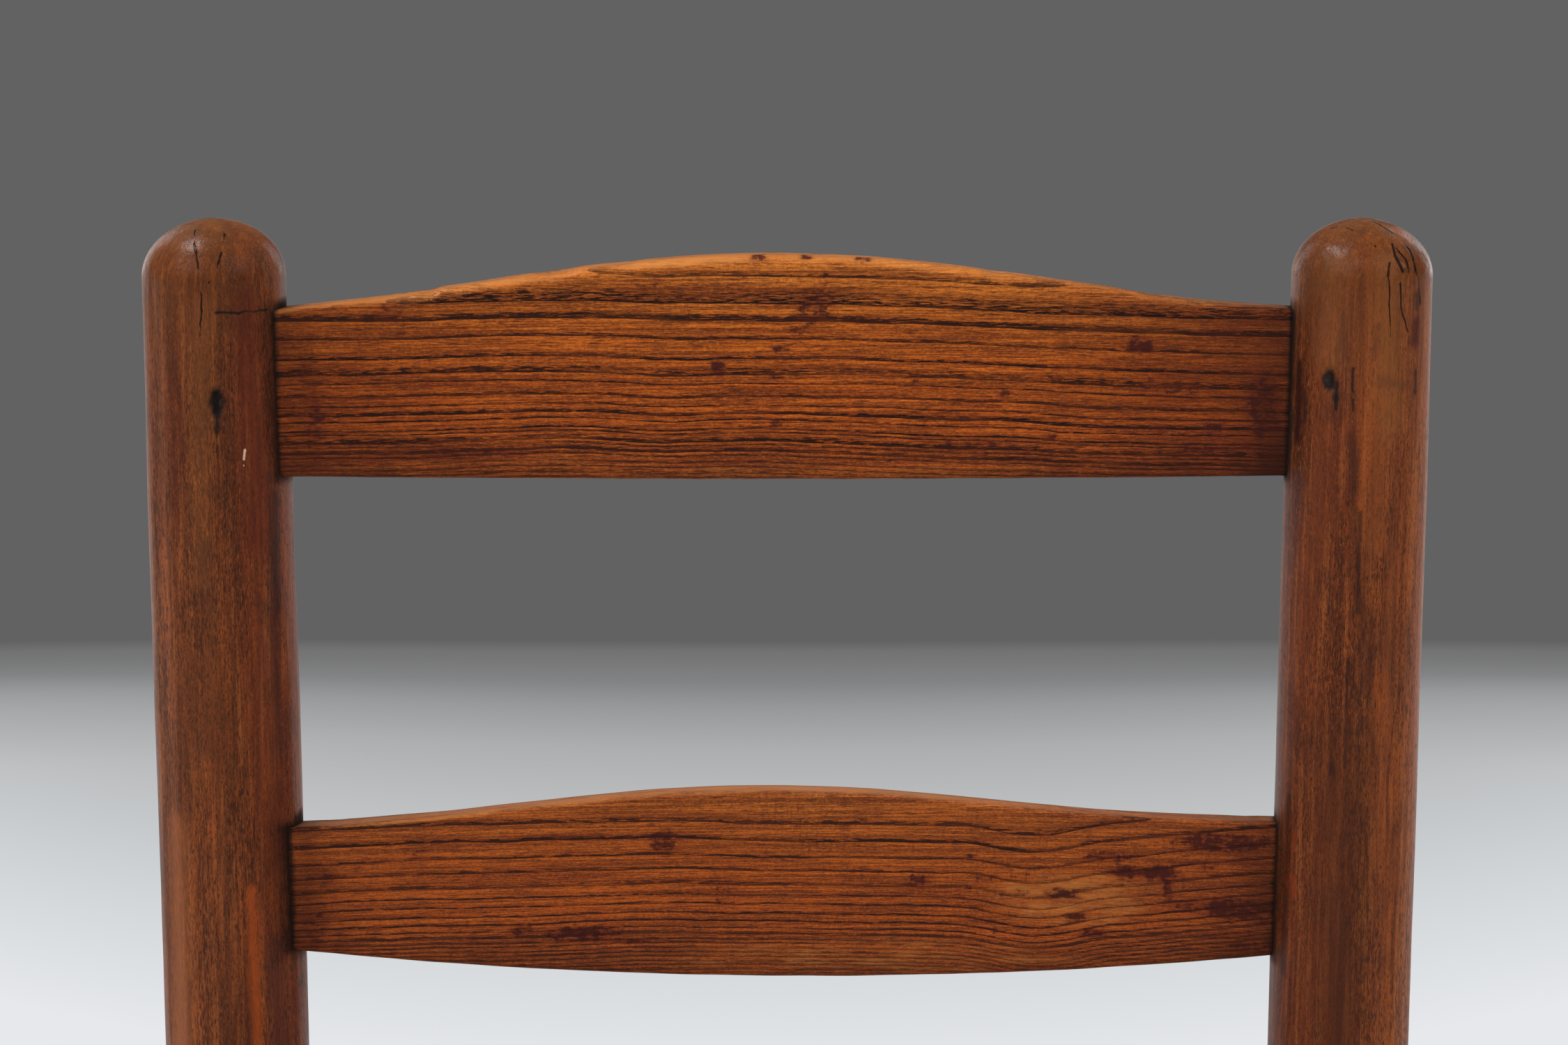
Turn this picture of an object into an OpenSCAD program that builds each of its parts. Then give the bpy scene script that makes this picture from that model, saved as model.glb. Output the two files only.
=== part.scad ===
// Ladder-back side chair with a rush seat: round wooden posts, two serpentine slats,
// seat rails wrapped in rush cord, and seven shaved stretchers, all tenoned into the legs.
// Units are millimetres. +Z is up and the sitter faces -Y; the origin is on the floor under
// the middle of the chair. Left and right are as seen from the front.

/* [Overall] */
// Height of the rear posts' rounded tops above the floor
total_h = 845; // [800:5:900]
// Depth from the front of the front legs to the back of the post tops
total_d = 465; // [450:1:490]
// Distance between the front legs' axes
front_cc = 400; // [380:1:430]
// Distance between the rear posts' axes, where they bend
rear_cc = 357; // [340:1:370]

/* [Posts and legs] */
// Diameter of the posts and legs at and above the seat
post_d = 45; // [42:0.5:48]
// Diameter of the posts and legs at the floor
foot_d = 40; // [36:0.5:42]
// Height of the bend in the rear posts
bend_z = 485; // [480:1:500]
// Radius of that bend, on the post's axis
bend_r = 300; // [240:10:340]
// How far the back leans, in degrees
back_lean = 8; // [6:0.5:10]
// How far the rear feet rake backwards, in degrees
leg_rake = 2.5; // [1:0.5:4]
// How far the rear posts spread towards their tops, in degrees
splay = 0.6; // [0:0.1:1]
// Height of the rounded end on a rear post
dome_h = 18; // [14:0.5:22]
// Height of the front legs' tops
front_leg_h = 467; // [462:1:475]
// Height of the rounded end on a front leg
front_dome_h = 9; // [6:0.5:12]
// Small bevel round each foot
foot_bevel = 1.5; // [0.5:0.5:3]

/* [Slats] */
// Thickness of the slats
slat_t = 12; // [10:0.5:14]
// How far the middle of a slat is bent back from its ends
slat_sag = 12; // [4:1:16]
// How far the slats' ends sit in front of the posts' axes
slat_forward = 1.5; // [0:0.5:3]
// Turn of the hand-cut slats in plan, in degrees
slat_skew = 1.2; // [0:0.1:1.5]
// Radius along the slats' edges
slat_edge_r = 2.5; // [1.5:0.5:4]
// How deep the slats' ends go into the posts
slat_tenon = 26; // [20:1:28]
// Height of the top slat at its ends
top_slat_h = 53; // [45:0.5:60]
// Rise of the top slat's crown above its shoulders
top_slat_crown = 16.5; // [8:0.5:20]
// Drop of the top slat's lower edge at the middle
top_slat_belly = 3; // [0:0.5:8]
// Distance from the post tops down to the top slat's lower corners, along the back
top_slat_down = 82; // [75:0.5:90]
// Height of the lower slat at its ends
lower_slat_h = 42; // [35:0.5:50]
// Rise of the lower slat's crown above its shoulders
lower_slat_crown = 8.5; // [4:0.5:14]
// Drop of the lower slat's lower edge at the middle
lower_slat_belly = 12; // [4:0.5:14]
// Distance from the post tops down to the lower slat's lower corners, along the back
lower_slat_down = 237.5; // [225:0.5:250]
// How far left of the middle the top slat's hand-cut crown peaks
top_crown_offset = 6; // [0:1:14]
// Distance from that peak to where the top slat's crown dies out
top_crown_half = 185; // [170:5:200]
// How far left of the middle the lower slat's hand-cut crown peaks
lower_crown_offset = 10; // [0:1:14]
// Distance from that peak to where the lower slat's crown dies out
lower_crown_half = 145; // [130:5:170]
// How far right of the middle the lower edges sag most
belly_offset = 12; // [0:1:14]

/* [Seat] */
// Height of the front and rear seat rails' axes
rail_z = 432; // [420:1:436]
// How much higher the side rails sit, so that the tenons clear each other
rail_step = 6; // [5:0.5:8]
// Width of a seat rail
rail_w = 30; // [26:1:32]
// Height of a seat rail
rail_h = 20; // [18:1:22]
// Thickness of one layer of rush cord
cord_d = 7; // [6:0.5:8]
// Number of cords in each half side of the seat
cords_per_half = 22; // [12:1:24]
// Depth of the groove between two cords
groove = 1.6; // [1:0.2:2]
// Gap between the rush and the legs that it is packed against
rush_gap = 0.6; // [0.4:0.1:1.5]
// Thickness of the stuffing between the two layers of rush
stuffing_h = 14; // [8:1:15]

/* [Joinery] */
// Diameter of the round tenons on the seat rails
rail_tenon_d = 15; // [13:0.5:15]
// Diameter of the round tenons on the stretchers
stretcher_tenon_d = 15; // [13:0.5:16]
// How deep the round tenons go into the legs
tenon_depth = 15; // [12:0.5:15]
// Gap for glue round each tenon
glue_gap = 0.1; // [0.05:0.05:0.2]
// Gap round a slat's end in its mortise
mortise_gap = 0.3; // [0.2:0.1:0.5]
// Diameter of the iron nails that pin the top slat
nail_d = 3; // [2.5:0.5:4]
// Diameter of a nail's head
nail_head_d = 4; // [3.5:0.5:6]
// Length of a nail
nail_l = 32; // [28:1:36]
// How deep a nail's head is sunk below the post's surface
nail_sink = 1.2; // [0.5:0.1:2]
// How far right of its post's axis the left nail stands
left_nail_off = 2.5; // [-12:0.5:12]
// How far right of its post's axis the right nail stands
right_nail_off = -11.7; // [-12:0.1:12]
// Distance of the left nail below the post's top, along the back
left_nail_down = 56; // [46:0.5:64]
// Distance of the right nail below the post's top, along the back
right_nail_down = 49.5; // [46:0.5:64]

/* [Stretchers] */
// Diameter of a stretcher at its middle
stretcher_d = 26; // [22:0.5:30]
// Heights of the front stretchers
front_stretcher_z = [180, 305]; // [100:1:350]
// Heights of the side stretchers
side_stretcher_z = [140, 262]; // [100:1:350]
// Height of the rear stretcher
rear_stretcher_z = 215; // [180:1:240]

/* [Hidden] */

POST_WOOD = "#7a4023";
SLAT_WOOD = "#a8622a";
RAIL_WOOD = "#8c5a35";
RUSH = "#b3925a";
STUFFING = "#a48a58";
IRON = "#2b2726";

LEFT = -1;
RIGHT = 1;
post_r = post_d / 2;
foot_r = foot_d / 2;
round_fn = 96;

// The side view of a rear post: two straight axes that meet at the bend.
bend_turn = back_lean + leg_rake;
bend_tangent = bend_r * tan(bend_turn / 2);
front_y = post_r - total_d / 2;
post_rise = (total_h - bend_z - sqrt(pow(post_r * sin(back_lean), 2) + pow(dome_h * cos(back_lean), 2)))
    / cos(back_lean);
upper_l = post_rise + dome_h;
bend_y = total_d / 2 - post_rise * sin(back_lean)
    - sqrt(pow(post_r * cos(back_lean), 2) + pow(dome_h * sin(back_lean), 2));
cone_top_z = 400;

// Points on the axes of the legs at a height z.
function rear_axis(side, z) = [
    side * (rear_cc / 2 + (z - bend_z) * tan(splay)),
    bend_y + (bend_z - z) * tan(leg_rake) / cos(splay),
    z
];
function front_axis(side, z) = [side * front_cc / 2, front_y, z];
// Radius of a leg at a height z: a cone up to cone_top_z, then straight.
function leg_r(z) = z >= cone_top_z ? post_r : foot_r + (post_r - foot_r) * z / cone_top_z;
side_rail_z = rail_z + rail_step;

// A slat is [height of its lower corners along the back, end height, crown, belly,
// the crown's offset, the crown's half width].
TOP_SLAT = [
    upper_l - top_slat_down, top_slat_h, top_slat_crown, top_slat_belly, top_crown_offset, top_crown_half
];
LOWER_SLAT = [
    upper_l - lower_slat_down, lower_slat_h, lower_slat_crown, lower_slat_belly, lower_crown_offset,
    lower_crown_half
];
// The slats run straight from here on, which is just inside the posts.
slat_straight_x = 160;
belly_half = 165;
slat_stations = 44;
corner_steps = 3;

// Half the distance between the posts' axes at a distance s up the back.
function half_cc(s) = rear_cc / 2 + s * cos(back_lean) * tan(splay);
function slat_half_l(slat) = half_cc(slat[0]) - post_r + slat_tenon;
// Middle of a slat's thickness, measured back from the plane of the post axes.
function slat_mid(x) = slat_sag * (abs(x) < slat_straight_x
        ? 1 - pow(x / slat_straight_x, 2)
        : 2 - 2 * abs(x) / slat_straight_x)
    + x * tan(slat_skew) - slat_forward;
function held(x) = max(-slat_straight_x, min(slat_straight_x, x));
function slat_top(slat, x) = slat[0] + slat[1]
    + slat[2] * (1 + cos(180 * min(1, abs(held(x) + slat[4]) / slat[5]))) / 2;
function slat_bottom(slat, x) = slat[0] - slat[3] * (1 - pow((held(x) - belly_offset) / belly_half, 2));

// The nails stand on the posts' front faces: [side, x, distance up the back].
NAILS = [
    [LEFT, -half_cc(upper_l - left_nail_down) + left_nail_off, upper_l - left_nail_down],
    [RIGHT, half_cc(upper_l - right_nail_down) + right_nail_off, upper_l - right_nail_down]
];

// Inner corners of the seat, where a leg's square notch ends, in order round the seat.
notch_r = post_r + rush_gap;
rush_r = rail_h / 2 + cord_d;
rush_flat = (rail_w - rail_h) / 2;
notch_z = side_rail_z + rush_r;
function notch(axis, side, y_side) = [axis[0] - side * notch_r, axis[1] + y_side * notch_r];
CORNERS = [
    notch(front_axis(LEFT, notch_z), LEFT, 1),
    notch(front_axis(RIGHT, notch_z), RIGHT, 1),
    notch(rear_axis(RIGHT, notch_z), RIGHT, -1),
    notch(rear_axis(LEFT, notch_z), LEFT, -1)
];
SEAT_CENTRE = [0, (CORNERS[0][1] + CORNERS[2][1]) / 2];
// The four rails, in the same order: front, right, rear, left.
RAIL_ENDS = [
    [front_axis(LEFT, rail_z), front_axis(RIGHT, rail_z)],
    [front_axis(RIGHT, side_rail_z), rear_axis(RIGHT, side_rail_z)],
    [rear_axis(RIGHT, rail_z), rear_axis(LEFT, rail_z)],
    [rear_axis(LEFT, side_rail_z), front_axis(LEFT, side_rail_z)]
];
mitre_top_z = rail_z + rush_r + rail_step / 2;
mitre_bottom_z = rail_z - rush_r + rail_step / 2;
centre_top_z = rail_z + rush_r - 2;
centre_bottom_z = rail_z - rush_r + 5;
wrap_angles = [90, 45, 0, -45, -90];

// Puts children in the frame of the back: z runs up the posts and y points backwards.
module back_frame() {
    translate([0, bend_y, bend_z]) rotate([-back_lean, 0, 0]) children();
}

// Lays children, made along +Z from the origin, along the line from a to b.
module along(a, b) {
    v = b - a;
    translate(a) rotate([0, acos(v[2] / norm(v)), atan2(v[1], v[0])]) children();
}

// Blind holes for the round tenons of a member that runs between two leg axes.
module tenon_holes(a, b, d) {
    l = norm(b - a);
    r = leg_r(a[2]);
    along(a, b) for (z = [r - tenon_depth - glue_gap, l - r - 2])
        translate([0, 0, z]) cylinder(d = d + 2 * glue_gap, h = tenon_depth + glue_gap + 2, $fn = round_fn);
}

module all_tenon_holes() {
    for (ends = RAIL_ENDS) tenon_holes(ends[0], ends[1], rail_tenon_d);
    for (z = front_stretcher_z) tenon_holes(front_axis(LEFT, z), front_axis(RIGHT, z), stretcher_tenon_d);
    for (side = [LEFT, RIGHT], z = side_stretcher_z)
        tenon_holes(front_axis(side, z), rear_axis(side, z), stretcher_tenon_d);
    tenon_holes(rear_axis(LEFT, rear_stretcher_z), rear_axis(RIGHT, rear_stretcher_z), stretcher_tenon_d);
}

// The pocket for one end of a slat, which follows the slat's own line.
module slat_mortise(slat, side) {
    x1 = side * (slat_straight_x - 10);
    x2 = side * (slat_half_l(slat) + mortise_gap);
    w = slat_t / 2 + mortise_gap;
    low = slat_bottom(slat, x2) - mortise_gap;
    back_frame() translate([0, 0, low]) linear_extrude(slat_top(slat, x2) + mortise_gap - low)
        polygon([[x1, slat_mid(x1) - w], [x2, slat_mid(x2) - w], [x2, slat_mid(x2) + w], [x1, slat_mid(x1) + w]]);
}

module nail_shape(grow = 0) {
    rotate([-90, 0, 0]) {
        cylinder(d = nail_d + grow, h = nail_l + grow, $fn = round_fn);
        cylinder(d = nail_head_d + grow, h = 1.2, $fn = round_fn);
    }
}

// Each nail's head starts just below the post's round front.
module at_nail(nail) {
    off = nail[1] - nail[0] * half_cc(nail[2]);
    back_frame() translate([nail[1], nail_sink - sqrt(pow(post_r, 2) - pow(off, 2)), nail[2]]) children();
}

module nail_holes() {
    for (nail = NAILS) at_nail(nail) {
        nail_shape(2 * glue_gap);
        rotate([90, 0, 0]) cylinder(d = nail_head_d + 2 * glue_gap, h = 6, $fn = round_fn);
    }
}

// A rounded end: half of an ellipse turned about the post's axis.
module dome(r, h) {
    steps = 10;
    rotate_extrude($fn = round_fn)
        polygon(concat([[0, 0]], [for (i = [0:steps]) [r * cos(90 * i / steps), h * sin(90 * i / steps)]]));
}

// One bent rear post without its joinery: raked leg, bend, leaning back and rounded top.
// The straight parts lap over the bend's ends, which is a hair slimmer so that the surfaces part cleanly.
module rear_post_blank(side) {
    lap = 1;
    skin = 0.05;
    translate([side * rear_cc / 2, bend_y, bend_z]) rotate([0, side * splay, 0]) {
        rotate([-back_lean, 0, 0]) {
            translate([0, 0, bend_tangent - lap])
                cylinder(r = post_r, h = post_rise - bend_tangent + lap, $fn = round_fn);
            translate([0, 0, post_rise]) dome(post_r, dome_h);
        }
        rotate([leg_rake, 0, 0]) {
            straight = bend_z - cone_top_z - bend_tangent;
            spare = 0.05;
            translate([0, 0, -bend_tangent - straight]) {
                cylinder(r = post_r, h = straight + lap, $fn = round_fn);
                translate([0, 0, -cone_top_z * (1 + spare)])
                    cylinder(r1 = foot_r - (post_r - foot_r) * spare, r2 = post_r, h = cone_top_z * (1 + spare),
                        $fn = round_fn);
            }
            translate([0, bend_r, -bend_tangent]) rotate([90, 0, 0]) rotate([0, -90, 0])
                rotate_extrude(angle = bend_turn, $fn = round_fn)
                    translate([bend_r, 0]) circle(post_r - skin, $fn = round_fn);
        }
    }
}

// Saws children off level with the floor.
module stand_level(centre) {
    saw = 4 * post_r;
    difference() {
        children();
        translate([centre[0] - saw / 2, centre[1] - saw / 2, -saw]) cube(saw);
    }
}

// The ring that bevels a foot's edge.
module foot_bevel_ring(centre) {
    reach = 12;
    inner = foot_r - foot_bevel;
    translate([centre[0], centre[1], 0]) rotate_extrude($fn = round_fn)
        polygon([[inner - 1, -1], [inner + reach, -1], [inner + reach, reach]]);
}

module rear_post(side) {
    color(POST_WOOD) difference() {
        stand_level(rear_axis(side, 0)) rear_post_blank(side);
        foot_bevel_ring(rear_axis(side, 0));
        all_tenon_holes();
        slat_mortise(TOP_SLAT, side);
        slat_mortise(LOWER_SLAT, side);
        nail_holes();
    }
}

module front_leg(side) {
    color(POST_WOOD) difference() {
        translate([side * front_cc / 2, front_y, 0]) {
            cylinder(r1 = foot_r - foot_bevel, r2 = foot_r, h = foot_bevel, $fn = round_fn);
            translate([0, 0, foot_bevel])
                cylinder(r1 = foot_r, r2 = post_r, h = cone_top_z - foot_bevel, $fn = round_fn);
            translate([0, 0, cone_top_z])
                cylinder(r = post_r, h = front_leg_h - front_dome_h - cone_top_z, $fn = round_fn);
            translate([0, 0, front_leg_h - front_dome_h]) dome(post_r, front_dome_h);
        }
        all_tenon_holes();
    }
}

// Section of a slat in its own plane, as points round a rectangle with rounded corners.
function slat_section(slat, x) =
    let (
        half_t = slat_t / 2 - slat_edge_r,
        high = slat_top(slat, x) - slat_edge_r,
        low = slat_bottom(slat, x) + slat_edge_r,
        centres = [[half_t, high], [-half_t, high], [-half_t, low], [half_t, low]]
    ) [
        for (corner = [0:3], step = [0:corner_steps])
            let (angle = 90 * (corner + step / corner_steps), centre = centres[corner])
                [x, slat_mid(x) + centre[0] + slat_edge_r * cos(angle), centre[1] + slat_edge_r * sin(angle)]
    ];

// A slat lofted through sections along its length, from one mortise to the other.
module slat_loft(slat) {
    half_l = slat_half_l(slat);
    ring = 4 * (corner_steps + 1);
    points = [
        for (i = [0:slat_stations]) each slat_section(slat, half_l * (2 * i / slat_stations - 1))
    ];
    sides = [
        for (i = [0:slat_stations - 1], j = [0:ring - 1])
            let (a = i * ring + j, b = i * ring + (j + 1) % ring) each [[a, a + ring, b], [b, a + ring, b + ring]]
    ];
    last = slat_stations * ring;
    ends = [[for (j = [0:ring - 1]) j], [for (j = [ring - 1:-1:0]) last + j]];
    back_frame() polyhedron(points, concat(sides, ends));
}

module top_slat() {
    color(SLAT_WOOD) difference() {
        slat_loft(TOP_SLAT);
        nail_holes();
    }
}

module lower_slat() {
    color(SLAT_WOOD) slat_loft(LOWER_SLAT);
}

// A seat rail: a bar with rounded edges between two round tenons.
module seat_rail(ends) {
    a = ends[0];
    b = ends[1];
    l = norm(b - a);
    color(RAIL_WOOD) along(a, b) {
        translate([0, 0, post_r - tenon_depth])
            cylinder(d = rail_tenon_d, h = l - 2 * (post_r - tenon_depth), $fn = round_fn);
        translate([0, 0, post_r + 2]) linear_extrude(l - 2 * post_r - 4) {
            square([rail_h, 2 * rush_flat], center = true);
            for (y = [-rush_flat, rush_flat]) translate([0, y]) circle(d = rail_h, $fn = round_fn);
        }
    }
}

// A stretcher: a shaved stick that swells from its tenons to its middle.
module stretcher(a, b) {
    steps = 20;
    l = norm(b - a);
    r_leg = leg_r(a[2]);
    tenon_r = stretcher_tenon_d / 2;
    free = l - 2 * r_leg;
    swell = stretcher_d / 2 - tenon_r;
    profile = [
        for (i = [0:steps])
            [tenon_r + swell * pow(sin(180 * i / steps), 0.6), r_leg + free * i / steps]
    ];
    start = r_leg - tenon_depth;
    color(POST_WOOD) along(a, b) rotate_extrude($fn = round_fn)
        polygon(concat([[0, start], [tenon_r, start]], profile, [[tenon_r, l - start], [0, l - start]]));
}

// Where the mitre line is on the top or bottom of the seat, for t from 0 to 1 along a side.
function mitre(side, t) =
    let (
        u = 1 - abs(2 * t - 1),
        corner = CORNERS[t < 0.5 ? side : (side + 1) % 4]
    ) corner + u * (SEAT_CENTRE - corner);

// One cord's path round its rail, from the mitre on top to the mitre underneath.
// lift is how far the surface stands out: 0 on a cord's crest, negative in a groove.
function cord_path(side, t, lift) =
    let (
        u = 1 - abs(2 * t - 1),
        m = mitre(side, t),
        a = RAIL_ENDS[side][0],
        b = RAIL_ENDS[side][1],
        along_x = side % 2 == 0,
        share = along_x ? (m[0] - a[0]) / (b[0] - a[0]) : (m[1] - a[1]) / (b[1] - a[1]),
        rail = a + share * (b - a),
        out = along_x ? [0, side == 0 ? -1 : 1] : [side == 1 ? 1 : -1, 0],
        r = rush_r + lift,
        inner = [m[0] * (along_x ? 1 : 0) + rail[0] * (along_x ? 0 : 1),
                 m[1] * (along_x ? 0 : 1) + rail[1] * (along_x ? 1 : 0)] - rush_flat * out,
        top = mitre_top_z + u * (centre_top_z - mitre_top_z) + lift,
        bottom = mitre_bottom_z + u * (centre_bottom_z - mitre_bottom_z) - lift
    ) concat(
        [[m[0], m[1], top], [inner[0], inner[1], rail[2] + r]],
        [
            for (angle = wrap_angles)
                let (p = inner + out * (2 * rush_flat + r * cos(angle))) [p[0], p[1], rail[2] + r * sin(angle)]
        ],
        [[inner[0], inner[1], rail[2] - r], [m[0], m[1], bottom]]
    );

// The woven seat's outer surface: cords laid side by side over each rail, meeting in four mitres.
module rush_surface() {
    columns = 4 * cords_per_half;
    path = len(wrap_angles) + 4;
    points = [
        for (side = [0:3], j = [0:columns])
            each cord_path(side, j / columns, j % 2 == 0 ? -groove : 0)
    ];
    strips = [
        for (side = [0:3], j = [0:columns - 1], k = [0:path - 2])
            let (a = (side * (columns + 1) + j) * path + k, b = a + path) each [[a, b, b + 1], [a, b + 1, a + 1]]
    ];
    caps = [
        for (side = [0:3])
            let (first = side * (columns + 1) * path, last = first + columns * path)
                each [[for (k = [0:path - 1]) first + k], [for (k = [path - 1:-1:0]) last + k]]
    ];
    polyhedron(points, concat(strips, caps));
}

module seat_rails() {
    for (ends = RAIL_ENDS) seat_rail(ends);
}

module stuffing_block() {
    inset = 0.84;
    translate([0, 0, rail_z - stuffing_h / 2 + 1]) linear_extrude(stuffing_h)
        polygon([for (corner = CORNERS) SEAT_CENTRE + inset * (corner - SEAT_CENTRE)]);
}

module rush_seat() {
    color(RUSH) difference() {
        rush_surface();
        seat_rails();
        stuffing_block();
    }
}

module seat_stuffing() {
    color(STUFFING) stuffing_block();
}

module slat_nails() {
    color(IRON) for (nail = NAILS) at_nail(nail) nail_shape();
}

rear_post(LEFT);  // rear_post_left
rear_post(RIGHT);  // rear_post_right
front_leg(LEFT);  // front_leg_left
front_leg(RIGHT);  // front_leg_right
top_slat();
lower_slat();
seat_rail(RAIL_ENDS[0]);  // front_seat_rail
seat_rail(RAIL_ENDS[2]);  // rear_seat_rail
seat_rail(RAIL_ENDS[3]);  // left_seat_rail
seat_rail(RAIL_ENDS[1]);  // right_seat_rail
stretcher(front_axis(LEFT, front_stretcher_z[0]), front_axis(RIGHT, front_stretcher_z[0]));  // front_stretcher_lower
stretcher(front_axis(LEFT, front_stretcher_z[1]), front_axis(RIGHT, front_stretcher_z[1]));  // front_stretcher_upper
stretcher(front_axis(LEFT, side_stretcher_z[0]), rear_axis(LEFT, side_stretcher_z[0]));  // left_stretcher_lower
stretcher(front_axis(LEFT, side_stretcher_z[1]), rear_axis(LEFT, side_stretcher_z[1]));  // left_stretcher_upper
stretcher(front_axis(RIGHT, side_stretcher_z[0]), rear_axis(RIGHT, side_stretcher_z[0]));  // right_stretcher_lower
stretcher(front_axis(RIGHT, side_stretcher_z[1]), rear_axis(RIGHT, side_stretcher_z[1]));  // right_stretcher_upper
stretcher(rear_axis(LEFT, rear_stretcher_z), rear_axis(RIGHT, rear_stretcher_z));  // rear_stretcher
rush_seat();
seat_stuffing();
slat_nails();
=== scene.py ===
import math

import bpy
from mathutils import Matrix, Vector, noise


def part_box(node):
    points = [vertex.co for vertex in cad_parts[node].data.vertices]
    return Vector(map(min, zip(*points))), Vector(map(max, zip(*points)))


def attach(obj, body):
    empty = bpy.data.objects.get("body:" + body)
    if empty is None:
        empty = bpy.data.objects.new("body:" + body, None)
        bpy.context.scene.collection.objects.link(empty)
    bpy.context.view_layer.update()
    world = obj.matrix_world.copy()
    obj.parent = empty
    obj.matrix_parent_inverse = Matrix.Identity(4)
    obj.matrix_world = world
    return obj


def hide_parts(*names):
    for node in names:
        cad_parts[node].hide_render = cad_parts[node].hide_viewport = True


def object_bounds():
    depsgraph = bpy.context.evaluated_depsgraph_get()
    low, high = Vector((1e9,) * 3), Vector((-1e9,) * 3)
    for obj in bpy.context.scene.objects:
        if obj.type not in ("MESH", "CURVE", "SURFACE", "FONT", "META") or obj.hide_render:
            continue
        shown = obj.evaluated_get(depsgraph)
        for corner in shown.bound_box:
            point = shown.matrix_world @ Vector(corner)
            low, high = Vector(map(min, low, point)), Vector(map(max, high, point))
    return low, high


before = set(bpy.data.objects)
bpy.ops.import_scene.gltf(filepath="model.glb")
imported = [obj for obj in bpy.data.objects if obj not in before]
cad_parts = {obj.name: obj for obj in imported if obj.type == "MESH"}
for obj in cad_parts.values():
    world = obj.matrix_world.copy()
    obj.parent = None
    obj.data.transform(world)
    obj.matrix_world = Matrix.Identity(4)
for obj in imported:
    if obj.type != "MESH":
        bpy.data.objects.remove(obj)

cad_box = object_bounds()

# Sizes, in metres
MM = 0.001

# The chair's driving sizes, as in its solids.
POST_R = 22.5 * MM
FOOT_R = 20 * MM
FRONT_HALF_CC = 200 * MM
REAR_HALF_CC = 178.5 * MM
BEND_Z = 485 * MM
BEND_R = 300 * MM
LEAN = math.radians(8)
RAKE = math.radians(2.5)
SPLAY = math.radians(0.6)
DOME_H = 18 * MM
FRONT_DOME_H = 9 * MM
CONE_TOP_Z = 400 * MM
FOOT_BEVEL = 1.5 * MM
SLAT_T = 12 * MM
SLAT_SAG = 12 * MM
SLAT_FORWARD = 1.5 * MM
SLAT_SKEW = math.tan(math.radians(1.2))
SLAT_STRAIGHT = 160 * MM
SLAT_TENON = 26 * MM
BELLY_HALF = 165 * MM
BELLY_OFFSET = 12 * MM
RAIL_Z = 432 * MM
RAIL_STEP = 6 * MM
RAIL_H = 20 * MM
RAIL_W = 30 * MM
CORD_D = 7 * MM
CORDS_PER_SIDE = 44
RUSH_GAP = 0.6 * MM
RUSH_LAY = 19 * MM
STRETCHER_R = 13 * MM
TENON_R = 7.5 * MM

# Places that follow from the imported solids.
cad_low, cad_high = cad_box
TOTAL_H = cad_high.z
FRONT_Y = cad_low.y + POST_R
DOME_UP = math.hypot(POST_R * math.sin(LEAN), DOME_H * math.cos(LEAN))
DOME_BACK = math.hypot(POST_R * math.cos(LEAN), DOME_H * math.sin(LEAN))
POST_RISE = (TOTAL_H - BEND_Z - DOME_UP) / math.cos(LEAN)
UPPER_L = POST_RISE + DOME_H
BEND_Y = cad_high.y - POST_RISE * math.sin(LEAN) - DOME_BACK
FRONT_LEG_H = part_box("front_leg_left")[1].z

LEFT, RIGHT = -1, 1


# The chair's lines
def smooth(low, high, value):
    """0 below low, 1 above high, and a smooth curve between."""
    t = min(1.0, max(0.0, (value - low) / (high - low)))
    return t * t * (3 - 2 * t)


def fall(low, high, value):
    """1 below low, 0 above high, and a smooth curve between."""
    return 1 - smooth(low, high, value)


def leg_radius(z):
    """A leg's or post's radius at a height. It tapers to the foot."""
    return POST_R if z >= CONE_TOP_Z else FOOT_R + (POST_R - FOOT_R) * max(0.0, z) / CONE_TOP_Z


def half_cc(s):
    """Half the distance between the rear posts' axes, at a distance s up the back from the bend."""
    return REAR_HALF_CC + s * math.cos(LEAN) * math.tan(SPLAY)


def back_point(x, n, s):
    """A point on the leaning back: x to the right, n backwards and s up from the bend."""
    return Vector((
        x,
        BEND_Y + n * math.cos(LEAN) + s * math.sin(LEAN),
        BEND_Z + s * math.cos(LEAN) - n * math.sin(LEAN),
    ))


def rear_axis(side, z):
    """The place of a rear post's axis at a height below the bend."""
    return Vector((
        side * (REAR_HALF_CC + (z - BEND_Z) * math.tan(SPLAY)),
        BEND_Y + (BEND_Z - z) * math.tan(RAKE) / math.cos(SPLAY),
        z,
    ))


def front_axis(side, z):
    return Vector((side * FRONT_HALF_CC, FRONT_Y, z))


class Slat:
    """One serpentine slat: its outline on the back, and the line of its middle in plan."""

    def __init__(self, down, end_h, crown, belly, crown_offset, crown_half):
        self.base = UPPER_L - down * MM
        self.end_h = end_h * MM
        self.crown = crown * MM
        self.belly = belly * MM
        self.crown_offset = crown_offset * MM
        self.crown_half = crown_half * MM
        self.half_l = half_cc(self.base) - POST_R + SLAT_TENON

    def top(self, x):
        x = max(-SLAT_STRAIGHT, min(SLAT_STRAIGHT, x))
        away = min(1.0, abs(x + self.crown_offset) / self.crown_half)
        return self.base + self.end_h + self.crown * (1 + math.cos(math.pi * away)) / 2

    def bottom(self, x):
        x = max(-SLAT_STRAIGHT, min(SLAT_STRAIGHT, x))
        return self.base - self.belly * (1 - ((x - BELLY_OFFSET) / BELLY_HALF) ** 2)

    def middle(self, x):
        u = abs(x) / SLAT_STRAIGHT
        return SLAT_SAG * (1 - u * u if u < 1 else 2 - 2 * u) + x * SLAT_SKEW - SLAT_FORWARD


TOP_SLAT = Slat(down=82, end_h=53, crown=16.5, belly=3, crown_offset=6, crown_half=185)
LOWER_SLAT = Slat(down=237.5, end_h=42, crown=8.5, belly=12, crown_offset=10, crown_half=145)


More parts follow.
